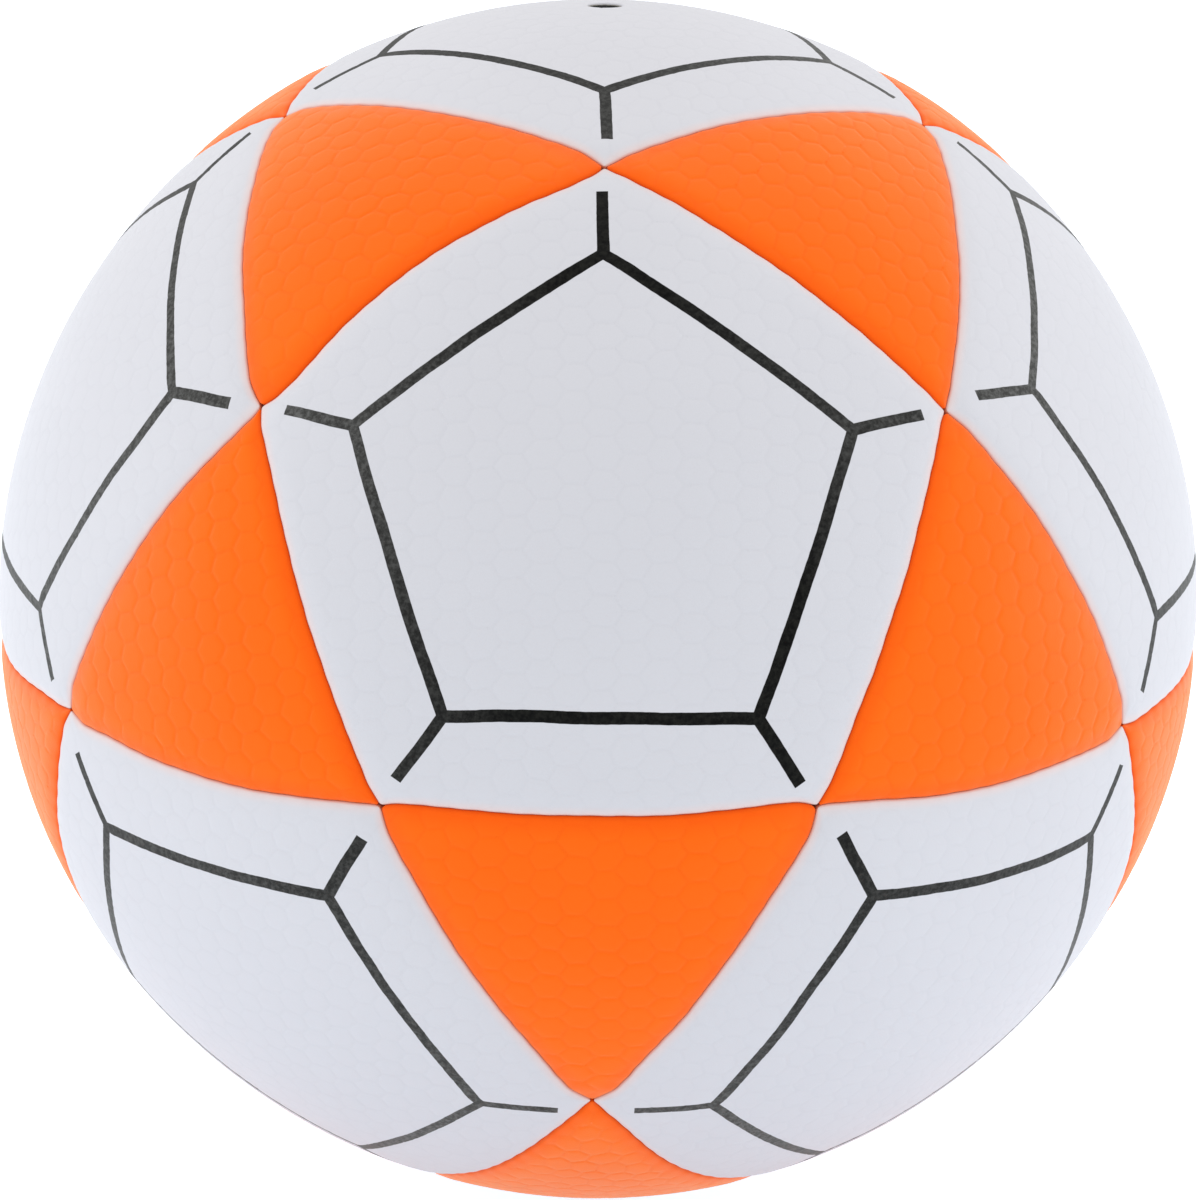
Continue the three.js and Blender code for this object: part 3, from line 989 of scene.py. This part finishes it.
def panel_points(shape, tiling, hole):
    """The outer face's points on the sheet: edge, hole, the rows along them and the tiles."""
    ring = shape.ring
    ahead = np.roll(ring, -1, axis=0) - np.roll(ring, 1, axis=0)
    inward = unit(np.column_stack([-ahead[:, 1], ahead[:, 0]]))
    loose = []
    for inset in ROW_INSETS:
        row = ring + inward * inset
        loose.append(row[shape.inset(row) > ROW_KEPT * inset])
    tiles = tiling.spots(BALL_RADIUS * shape.corner_polar)
    reach = np.hypot(*tiles.T)
    tiles = tiles[reach < BALL_RADIUS * shape.corner_polar]
    tiles = tiles[shape.inset(tiles) > TILE_MARGIN]
    rings = [ring]
    if hole:
        rings.append(circle(HOLE_RADIUS, HOLE_POINTS))
        loose += [circle(HOLE_RADIUS + gap, HOLE_POINTS) for gap in HOLE_ROWS]
        tiles = tiles[np.hypot(*tiles.T) > HOLE_RADIUS + HOLE_MARGIN]
    return rings, np.vstack([*rings, *loose, tiles])


def hole_drop(sheet):
    """How far the rounded rim of the valve's hole drops."""
    gap = np.clip(1 - (np.hypot(*sheet.T) - HOLE_RADIUS) / HOLE_ROUNDING, 0, 1)
    return HOLE_DROP * (1 - np.sqrt(1 - gap**2))


def panel(name, shape, axes, tiling, prints=None, hole=False):
    """One panel of the cover, closed: outer face, turned-in edge and inner face."""
    shell = Shell()
    rings, points = panel_points(shape, tiling, hole)
    local = wrap(points)
    depth, gap = cover_depth(shape, local, local @ axes.T * BALL_RADIUS)
    if hole:
        depth = depth + hole_drop(points)
    outer = shell.add(local, depth, with_seam(points, gap), points)
    size = len(rings[0])
    shell.cover(fill(points, [len(r) for r in rings]), True)
    ring, edge = rings[0], outer[:size]
    edge_depth = depth[:size]
    sink = corner_sink(shape, wrap(ring))
    before, length = edge, 0.0
    for step in SEAM_FACE_STEPS:
        below = edge_depth + step * (SEAM_FACE_FOOT + sink - edge_depth)
        length = step * (SEAM_FACE_FOOT - PANEL_CROWN - SHOULDER_DEPTH - CREASE_DEPTH)
        spot = ring * (1 + length / shape.reach)
        now = shell.add(wrap(ring), below, with_seam(spot, -length), spot)
        shell.cover(strip(before, now), True)
        before = now
    # The inner side has a map of its own, unfolded outwards from the root of the allowance
    path = sum(
        math.dist(a, b) for a, b in zip(EDGE_STATIONS, ((0.0, SEAM_FACE_FOOT), *EDGE_STATIONS))
    )
    root = 1 - EDGE_STATIONS[-1][0] / shape.reach
    fold_spot = ring * (root + path / shape.reach)
    fold = shell.add(wrap(ring), shell.depth[-1], with_seam(ring, -length), fold_spot)
    inner_first, last = fold[0], (0.0, SEAM_FACE_FOOT)
    before = fold
    for inset, below in EDGE_STATIONS:
        path -= math.dist(last, (inset, below))
        last = (inset, below)
        spot = ring * (1 - inset / shape.reach)
        place = ring * (root + path / shape.reach)
        now = shell.add(wrap(spot), below + sink, with_seam(spot, -length), place)
        shell.cover(strip(before, now), False)
        before = now
    lining = ring * root
    grid = np.arange(-INNER_SPAN, INNER_SPAN + 0.1, INNER_STEP)
    loose = np.array([(x + 0.3 * y % 1, y) for x in grid for y in grid])
    loose = loose[np.hypot(*loose.T) < BALL_RADIUS * shape.corner_polar]
    loose = loose[shape.inset(loose) > EDGE_STATIONS[-1][0] + INNER_MARGIN]
    inner_rings = [lining]
    if hole:
        inner_rings.append(circle(HOLE_RADIUS, HOLE_POINTS))
        loose = loose[np.hypot(*loose.T) > HOLE_RADIUS + INNER_MARGIN]
    spots = np.vstack([*inner_rings, loose])
    faces = fill(spots, [len(r) for r in inner_rings])[:, ::-1]
    rest = spots[size:]
    crown = near_seams(shape.from_seams(wrap(rest))[0], shape.reach)
    below = COVER_THICKNESS + PANEL_CROWN * crown
    lined = shell.add(wrap(rest), below, with_seam(rest, -length), rest)
    shell.cover(np.concatenate([before, lined])[faces], False)
    if hole:
        bored = outer[size : size + HOLE_POINTS]
        wall = lined[:HOLE_POINTS]
        shell.cover(strip(bored, wall)[:, ::-1], False)
    return finished_panel(name, shape, axes, tiling, prints, shell, inner_first)


def finished_panel(name, shape, axes, tiling, prints, shell, inner_first):
    local, depth = np.vstack(shell.local), np.concatenate(shell.depth)
    sheet, maps = np.vstack(shell.sheet), np.vstack(shell.maps)
    faces, outside = np.vstack(shell.faces), np.concatenate(shell.outside)
    # The seam face's last ring is there twice, once for each map, and is one ring in the mesh
    twins = np.arange(len(local))
    size = len(shape.ring)
    twins[inner_first : inner_first + size] -= size
    kept = np.unique(twins)
    number = np.searchsorted(kept, twins)
    places = stray(local @ axes.T) * (BALL_RADIUS - depth)[:, None]
    piece = make_mesh(name, places[kept], number[faces])
    mesh = piece.data
    grooves = np.full(len(local), CLEAR_OF_GROOVES)
    laid = sheet[:, 2] > 0
    grooves[laid] = tiling.groove_gap(sheet[laid, :2])
    if prints:
        thin, drift = printed(sheet[:, :2], *prints)
        sheet[:, :2] -= drift
        fade = np.clip(thin + FADE_SWELL * swell(places, FADE_SEED, FADE_LENGTH), 0, 1)
        store(mesh, "fade", "FLOAT", "POINT", "value", fade[kept])
    store(mesh, "sheet", "FLOAT_VECTOR", "POINT", "vector", sheet[kept])
    store(mesh, "groove", "FLOAT", "POINT", "value", grooves[kept])
    store(mesh, "outside", "BOOLEAN", "FACE", "value", outside)
    span = BALL_RADIUS * shape.corner_polar + MAP_MARGIN
    small = LINING_MAP / (span + LINING_MARGIN)
    corner = span - LINING_MAP
    spot = maps[faces.ravel()]
    spot = np.where(np.repeat(outside, 3)[:, None], spot, spot * small + corner)
    layer = mesh.uv_layers.new(name="OFBake")
    layer.uv.foreach_set("vector", (0.5 + spot / (2 * span)).astype(np.float32).ravel())
    return piece


# Geometry Nodes


class GeometryRecipe(Recipe):
    """A Geometry Nodes tree with named inputs."""

    def __init__(self, name, **inputs):
        tree = bpy.data.node_groups.new(name, "GeometryNodeTree")
        super().__init__(tree)
        kinds = {float: "NodeSocketFloat", int: "NodeSocketInt"}
        tree.interface.new_socket("Geometry", in_out="INPUT", socket_type="NodeSocketGeometry")
        for label, value in inputs.items():
            kind = kinds.get(type(value), "NodeSocketMaterial")
            socket = tree.interface.new_socket(label, in_out="INPUT", socket_type=kind)
            socket.default_value = value
        tree.interface.new_socket("Geometry", in_out="OUTPUT", socket_type="NodeSocketGeometry")
        outputs = self.node("NodeGroupInput")
        self.inputs = dict(zip(["Geometry", *inputs], outputs))

    def close(self, geometry):
        self.node("NodeGroupOutput", {}, {0: geometry})

    def named(self, name, kind):
        return self.node("GeometryNodeInputNamedAttribute", {"data_type": kind}, {"Name": name})[0]

    def vector(self, operation, *vectors, **sockets):
        sockets.update(enumerate(vectors))
        return self.node("ShaderNodeVectorMath", {"operation": operation}, sockets)[0]

    def put_on(self, piece, **values):
        """Adds the tree to a piece, with its inputs set by their sockets' identifiers."""
        modifier = piece.modifiers.new(self.tree.name, "NODES")
        modifier.node_group = self.tree
        labels = {
            item.name: item.identifier
            for item in self.tree.interface.items_tree
            if item.in_out == "INPUT"
        }
        for label, value in values.items():
            modifier[labels[label]] = value


SEED_STEP = 0.37  # metres between the places where two panels read the pattern of pressing
PRESS_PATCHES = 90.0  # to a metre, pressed more and less deeply


def pressed_tiles():
    """Presses the hexagon grooves into a panel and sets its finishes."""
    recipe = GeometryRecipe(
        "pressed_tiles",
        groove_depth=0.12,
        groove_width=GROOVE_WIDTH,
        seam_fade=3.0,
        unevenness=0.8,
        seed=5,
        skin=finishes["orange"],
        backing=finishes["backing"],
    )
    given = recipe.inputs
    groove = recipe.named("groove", "FLOAT")
    seam = recipe.split(recipe.named("sheet", "FLOAT_VECTOR"))[2]
    place = recipe.node("GeometryNodeInputPosition")[0]
    offset = recipe.node("ShaderNodeCombineXYZ", {}, {0: given["seed"] * SEED_STEP})[0]
    spot = recipe.vector("ADD", place, offset)
    press = 1 + (recipe.noise(spot, PRESS_PATCHES, 1.0) - 0.5) * 2 * given["unevenness"]
    sunk = recipe.ease(groove, 0.0, given["groove_width"], 1.0, 0.0)
    fade = recipe.ease(seam, 0.3, given["seam_fade"])
    lift = sunk * fade * press * given["groove_depth"] * -MM
    offset = recipe.vector("SCALE", recipe.vector("NORMALIZE", place), Scale=lift)
    sockets = {"Geometry": given["Geometry"], "Offset": offset}
    moved = recipe.node("GeometryNodeSetPosition", {}, sockets)[0]
    whole = recipe.node("GeometryNodeRealizeInstances", {}, {0: moved})[0]
    sockets = {"Geometry": whole, "Material": given["backing"]}
    lined = recipe.node("GeometryNodeSetMaterial", {}, sockets)[0]
    outside = recipe.named("outside", "BOOLEAN")
    sockets = {"Geometry": lined, "Selection": outside, "Material": given["skin"]}
    recipe.close(recipe.node("GeometryNodeSetMaterial", {}, sockets)[0])
    return recipe


LOOP_WIDTH = 5.3  # across the seam, round both allowances
LOOP_SHARE = 0.97  # of the pitch that a loop of thread takes up
LOOP_BEND = 2.2  # the radius of a loop's corners, in radii of the thread
THREAD_RADIUS = 0.32
THREAD_SIDES = 5


def saddle_stitches():
    """Sews loops of thread along seam lines, each loop through both turned-in edges."""
    recipe = GeometryRecipe(
        "saddle_stitches",
        pitch=STITCH_PITCH * MM,
        width=LOOP_WIDTH * MM,
        thread_radius=THREAD_RADIUS * MM,
        thread=finishes["thread"],
    )
    given = recipe.inputs
    line = recipe.node("GeometryNodeMeshToCurve", {}, {0: given["Geometry"]})[0]
    sockets = {"Curve": line, "Length": given["pitch"]}
    line = recipe.node("GeometryNodeResampleCurve", {"mode": "LENGTH"}, sockets)[0]
    sockets = {"Width": given["pitch"] * LOOP_SHARE, "Height": given["width"]}
    loop = recipe.node("GeometryNodeCurvePrimitiveQuadrilateral", {}, sockets)[0]
    sockets = {"Curve": loop, "Radius": given["thread_radius"] * LOOP_BEND, "Count": 2}
    loop = recipe.node("GeometryNodeFilletCurve", {"mode": "POLY"}, sockets)[0]
    sockets = {"Resolution": THREAD_SIDES, "Radius": given["thread_radius"]}
    section = recipe.node("GeometryNodeCurvePrimitiveCircle", {}, sockets)[0]
    loop = recipe.node("GeometryNodeCurveToMesh", {}, {"Curve": loop, "Profile Curve": section})[0]
    tangent = recipe.node("GeometryNodeInputTangent")[0]
    outward = recipe.vector("NORMALIZE", recipe.node("GeometryNodeInputPosition")[0])
    settings = {"primary_axis": "X", "secondary_axis": "Z"}
    turn = recipe.node("FunctionNodeAxesToRotation", settings, {0: tangent, 1: outward})[0]
    sockets = {"Points": line, "Instance": loop, "Rotation": turn}
    sewn = recipe.node("GeometryNodeInstanceOnPoints", {}, sockets)[0]
    whole = recipe.node("GeometryNodeRealizeInstances", {}, {0: sewn})[0]
    sockets = {"Geometry": whole, "Material": given["thread"]}
    recipe.close(recipe.node("GeometryNodeSetMaterial", {}, sockets)[0])
    return recipe


def settle(pieces):
    """Turns each piece's modifiers into its mesh."""
    graph = bpy.context.evaluated_depsgraph_get()
    for piece in pieces:
        made = bpy.data.meshes.new_from_object(
            piece.evaluated_get(graph), preserve_all_data_layers=True, depsgraph=graph
        )
        made.name = piece.name
        piece.modifiers.clear()
        piece.data = made
        made.shade_smooth()


def stand_for(piece, node=None):
    """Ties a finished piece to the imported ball, in place of a node where there is one."""
    if node:
        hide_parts(node)
    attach(piece, "root")


# The cover. A panel is cut with its rows of tiles at one of a few angles to its first corner.
LEANS = {"orange_panel_cap_5": math.radians(45), "white_panel_upper_1": 0.0}
COMMON_LEANS = [0.0, 0.0, 20.0, 45.0]  # degrees
LEAN_SEED = 7
TILING_SEED = 100  # of the first panel
WHITE_GROOVE_DEPTH, ORANGE_GROOVE_DEPTH = 0.055, 0.09


def all_panels():
    tiles = pressed_tiles()
    draw = np.random.default_rng(LEAN_SEED)
    rows = [("white_panel_valve", TOP), ("white_panel_base", -TOP)]
    rows += [(f"white_panel_upper_{k + 1}", UPPER[k]) for k in range(5)]
    rows += [(f"white_panel_lower_{k + 1}", LOWER[k]) for k in range(5)]
    for k in range(5):
        after, before = (k + 1) % 5, (k + 4) % 5
        rows += [
            (f"orange_panel_cap_{k + 1}", TOP, UPPER[k], UPPER[after]),
            (f"orange_panel_upper_{k + 1}", UPPER[k], UPPER[after], LOWER[k]),
            (f"orange_panel_lower_{k + 1}", LOWER[before], LOWER[k], UPPER[k]),
            (f"orange_panel_base_{k + 1}", -TOP, LOWER[k], LOWER[after]),
        ]
    made = []
    for number, (node, *around) in enumerate(rows):
        white = len(around) == 1
        middle = unit(sum(around))
        if white:
            corners = white_corners(middle)
        else:
            corners = unit([around[i] + around[(i + 1) % 3] for i in range(3)])
        lean = LEANS.get(node, draw.choice(COMMON_LEANS) * math.pi / 180)
        # The hidden panels' prints stray as those of the panels in sight do
        prints = PRINTS.get(node, list(PRINTS.values())[number % len(PRINTS)]) if white else None
        piece = panel(
            node.replace("panel", "cover"),
            pentagon if white else triangle,
            panel_axes(middle, corners),
            Tiling(TILING_SEED + number, lean),
            prints,
            hole=node == "white_panel_valve",
        )
        depth = WHITE_GROOVE_DEPTH if white else ORANGE_GROOVE_DEPTH
        skin = finishes["white" if white else "orange"]
        tiles.put_on(piece, groove_depth=depth, seed=number, skin=skin, backing=finishes["backing"])
        made.append((piece, node))
    settle([piece for piece, _ in made])
    for piece, node in made:
        stand_for(piece, node)


THREAD_DEPTH = 5.6  # below the ball's outer sphere
SEAM_END = 0.93  # how much of each half seam is sewn before its corner
SEAM_STEPS = 13


def seam_thread():
    """The thread in all sixty seams, as lines that Geometry Nodes sew along."""
    places, edges = [], []
    shares = np.linspace(-SEAM_END, SEAM_END, SEAM_STEPS)
    lateral = pentagon.bowed(shares) / BALL_RADIUS
    for middle in WHITES:
        axes = panel_axes(middle, white_corners(middle))
        for i in range(5):
            line = pentagon.arc(i, shares) + lateral[:, None] * pentagon.outwards[i]
            line = unit(line) @ axes.T
            first = len(places) * SEAM_STEPS
            edges += [(first + j, first + j + 1) for j in range(SEAM_STEPS - 1)]
            places.append(stray(line) * (BALL_RADIUS - THREAD_DEPTH))
    mesh = bpy.data.meshes.new("seam_thread")
    mesh.from_pydata((np.vstack(places) * MM).tolist(), edges, [])
    mesh.materials.append(finishes["thread"])
    piece = put_in_scene("seam_thread", mesh)
    saddle_stitches().put_on(piece, thread=finishes["thread"])
    settle([piece])
    stand_for(piece)


# What is turned about the ball's axis
TURNED_STEPS = 96
ROUNDING_STEPS = (0, 0.25, 0.5, 0.75, 1)
ROUNDING_LIMIT = 0.4  # of a side, so that two corners' roundings don't meet


def rounded(points, cut):
    """A closed section with each corner rounded off by up to a cut along its sides."""
    made = []
    count = len(points)
    points = np.array(points, float)
    for i, corner in enumerate(points):
        before, after = points[i - 1] - corner, points[(i + 1) % count] - corner
        lengths = np.linalg.norm(before), np.linalg.norm(after)
        near = min(cut, ROUNDING_LIMIT * min(lengths))
        start, end = corner + before / lengths[0] * near, corner + after / lengths[1] * near
        for t in ROUNDING_STEPS:
            made.append((1 - t) ** 2 * start + 2 * t * (1 - t) * corner + t * t * end)
    return np.array(made)


def turned(name, section, material):
    """A solid of revolution about +Z. Its section is closed and runs anticlockwise, or else starts
    and ends on the axis."""
    ends = [(0, 0, z) for r, z in (section[0], section[-1]) if r == 0]
    body = section[1:-1] if ends else section
    whole = np.ones(TURNED_STEPS, int)
    rings = [np.column_stack([circle(r, TURNED_STEPS), whole * z]) for r, z in body]
    index = np.arange(len(body) * TURNED_STEPS).reshape(len(body), TURNED_STEPS)
    if not ends:
        faces = [strip(index[i], index[i - 1]) for i in range(len(body))]
        return make_mesh(name, np.vstack(rings), np.vstack(faces), material)
    faces = [strip(index[i + 1], index[i]) for i in range(len(body) - 1)]
    low, high = index.size, index.size + 1
    after = np.roll(np.arange(TURNED_STEPS), -1)
    faces.append(np.column_stack([whole * low, index[0][after], index[0]]))
    faces.append(np.column_stack([whole * high, index[-1], index[-1][after]]))
    return make_mesh(name, np.vstack([*rings, ends]), np.vstack(faces), material)


BLADDER_RADIUS = 101.683
BLADDER_WALL = 0.8
BLADDER_INSIDE = BLADDER_RADIUS - BLADDER_WALL
BLADDER_ROWS = (80, 40)  # outside and inside
FIT = 0.3
STUB_RADIUS, STUB_LENGTH = 5.0, 3.0
BOSS_RADIUS, BOSS_FLARE = 6.0, 1.8
FLANGE_WIDTH, FLANGE_THICKNESS, FLANGE_EDGE = 8.0, 1.4, 1.2
AIR_HOLE_RADIUS, BORE_RADIUS, COLLAR_RADIUS, COLLAR_HEIGHT = 1.1, 2.1, 2.8, 2.0
MOUTH_RADIUS, MOUTH_HEIGHT, MOUTH_CHAMFER = 2.85, 109.5, 0.4
RUBBER_ROUNDING, CLOTH_ROUNDING = 0.22, 0.2
BOSS_HEIGHT = 105.96
COLLAR_MIDDLE = (BLADDER_INSIDE + BOSS_HEIGHT) / 2
PATCH_WIDTH, PATCH_THICKNESS, PATCH_ROWS = 12.0, 0.9, 14
PATCH_RADIUS = 106.132  # of its outer face


def height_on(radius, across):
    """The height of a place on a ball of that radius, at a distance from its axis."""
    return math.sqrt(radius**2 - across**2)


def valve_housing():
    """The flange on the bladder, the boss in the hole of the cover, and the bore for the core."""
    under = BLADDER_RADIUS + FIT
    over = under + FLANGE_THICKNESS
    flange = BOSS_RADIUS + FLANGE_WIDTH
    groove = COLLAR_HEIGHT / 2 + FIT
    stub = BLADDER_INSIDE - STUB_LENGTH
    across = np.linspace(STUB_RADIUS, flange, 8)
    section = [(AIR_HOLE_RADIUS, stub), (STUB_RADIUS, stub)]
    section += [(r, height_on(under, r)) for r in across]
    across = np.linspace(flange - FLANGE_EDGE, BOSS_RADIUS + BOSS_FLARE, 6)
    section += [(r, height_on(over, r)) for r in across]
    section += [
        (BOSS_RADIUS + 0.5, height_on(over, BOSS_RADIUS) + 0.5),
        (BOSS_RADIUS, height_on(over, BOSS_RADIUS) + BOSS_FLARE),
        (BOSS_RADIUS, BOSS_HEIGHT),
        (MOUTH_RADIUS, BOSS_HEIGHT),
        (MOUTH_RADIUS, MOUTH_HEIGHT),
        (BORE_RADIUS + MOUTH_CHAMFER, MOUTH_HEIGHT),
        (BORE_RADIUS, MOUTH_HEIGHT - MOUTH_CHAMFER),
        (BORE_RADIUS, COLLAR_MIDDLE + groove),
        (COLLAR_RADIUS + FIT, COLLAR_MIDDLE + groove),
        (COLLAR_RADIUS + FIT, COLLAR_MIDDLE - groove),
        (BORE_RADIUS, COLLAR_MIDDLE - groove),
        (BORE_RADIUS, BLADDER_INSIDE),
        (AIR_HOLE_RADIUS, BLADDER_INSIDE),
    ]
    piece = turned("valve_mouth_rubber", rounded(section, RUBBER_ROUNDING), finishes["valve"])
    stand_for(piece, "valve_housing")


def valve_core():
    """The plug, with its collar at half height and a dimple for the needle in each end."""
    radius = BORE_RADIUS - FIT
    foot, head = BLADDER_INSIDE + FIT, MOUTH_HEIGHT - MOUTH_CHAMFER - 0.1
    low, high = COLLAR_MIDDLE - COLLAR_HEIGHT / 2, COLLAR_MIDDLE + COLLAR_HEIGHT / 2
    section = [
        (0, foot + 1.2),
        (0.25, foot + 1.05),
        (0.9, foot),
        (radius - 0.25, foot),
        (radius, foot + 0.25),
        (radius, low - 0.15),
        (radius + 0.15, low),
        (COLLAR_RADIUS - 0.2, low),
        (COLLAR_RADIUS, low + 0.2),
        (COLLAR_RADIUS, high - 0.2),
        (COLLAR_RADIUS - 0.2, high),
        (radius + 0.15, high),
        (radius, high + 0.15),
        (radius, head - 0.4),
        (radius - 0.15, head - 0.12),
        (radius - 0.45, head),
        (0.8, head),
        (0.6, head - 0.08),
        (0.3, head - 0.7),
        (0, head - 1.2),
    ]
    piece = turned("valve_core_rubber", section, finishes["valve"])
    stand_for(piece, "valve_core")


def bladder():
    """Hollow, and open at the top round the valve's stub."""
    mouth = STUB_RADIUS + FIT
    outside, inside = np.linspace(0, 1, BLADDER_ROWS[0]), np.linspace(1, 0, BLADDER_ROWS[1])
    section = []
    for radius, shares in ((BLADDER_RADIUS, outside), (BLADDER_INSIDE, inside)):
        end = math.pi - math.asin(mouth / radius)
        for share in shares:
            section.append((radius * math.sin(share * end), -radius * math.cos(share * end)))
    piece = turned("bladder_rubber", section, finishes["bladder"])
    stand_for(piece, "bladder")


def patch():
    under = PATCH_RADIUS - PATCH_THICKNESS
    hole, edge = BOSS_RADIUS + FIT, BOSS_RADIUS + PATCH_WIDTH
    across = np.linspace(hole, edge, PATCH_ROWS)
    section = [(r, height_on(under, r)) for r in across]
    section += [(r, height_on(PATCH_RADIUS, r)) for r in across[::-1]]
    piece = turned("valve_patch_cloth", rounded(section, CLOTH_ROUNDING), finishes["patch"])
    stand_for(piece, "valve_patch")


all_panels()
seam_thread()
valve_housing()
valve_core()
patch()
bladder()

# Floor, background and light
FLOOR_HALF = 6.0  # metres, as are the lamps' places and sizes
FLOOR_LEVEL = -BALL_RADIUS * MM
FLOOR_COLOUR = (0.88, 0.94, 1.0, 1)
# What the floor adds of its own, for the light that it sends to the ball and for the camera
FLOOR_GLOW = ((0.1316, 0.1358, 0.14, 1), (0.611, 0.6305, 0.65, 1))


def seen_directly(recipe):
    """1 for the camera's rays, and for those that gloss or glass sends on."""
    path = {link.socket.name: link for link in recipe.node("ShaderNodeLightPath")}
    seen = recipe.maths("MAXIMUM", path["Is Camera Ray"], path["Is Glossy Ray"])
    return recipe.maths("MAXIMUM", seen, path["Is Transmission Ray"])


def floor():
    corners = [(-1, -1), (1, -1), (1, 1), (-1, 1)]
    mesh = bpy.data.meshes.new("floor")
    places = [(x * FLOOR_HALF, y * FLOOR_HALF, FLOOR_LEVEL) for x, y in corners]
    mesh.from_pydata(places, [], [(0, 1, 2, 3)])
    material, shader, recipe = finish("floor_paper", 0.9, 0.0)
    shader.inputs["Base Color"].default_value = FLOOR_COLOUR
    shader.inputs["Emission Strength"].default_value = 1.0
    join(recipe, shader, Emission_Color=recipe.blend(seen_directly(recipe), *FLOOR_GLOW))
    mesh.materials.append(material)
    piece = put_in_scene("floor", mesh)


WORLD_LIGHT = 0.95


def background():
    world = bpy.data.worlds.new("studio")
    world.use_nodes = True
    bpy.context.scene.world = world
    recipe = Recipe(world.node_tree)
    seen = seen_directly(recipe)
    shader = recipe.tree.nodes["Background"]
    join(recipe, shader, Strength=WORLD_LIGHT + seen * (1 - WORLD_LIGHT))
    shader.inputs["Color"].default_value = (1, 1, 1, 1)


def lamp(name, place, size, power):
    light = bpy.data.lights.new(name, "AREA")
    light.shape = "DISK"
    light.size = size
    light.energy = power
    holder = put_in_scene(name, light)
    holder.location = place
    holder.rotation_euler = (-Vector(place)).to_track_quat("-Z", "Y").to_euler()


floor()
background()
lamp("soft_left", (-1.5, 0.1, 0.05), 0.8, 5.6)
lamp("soft_right", (1.5, 0.1, 0.05), 0.8, 5.3)
lamp("soft_top", (0.0, 0.4, 1.5), 0.8, 3.3)
bpy.context.scene.view_settings.view_transform = "Standard"
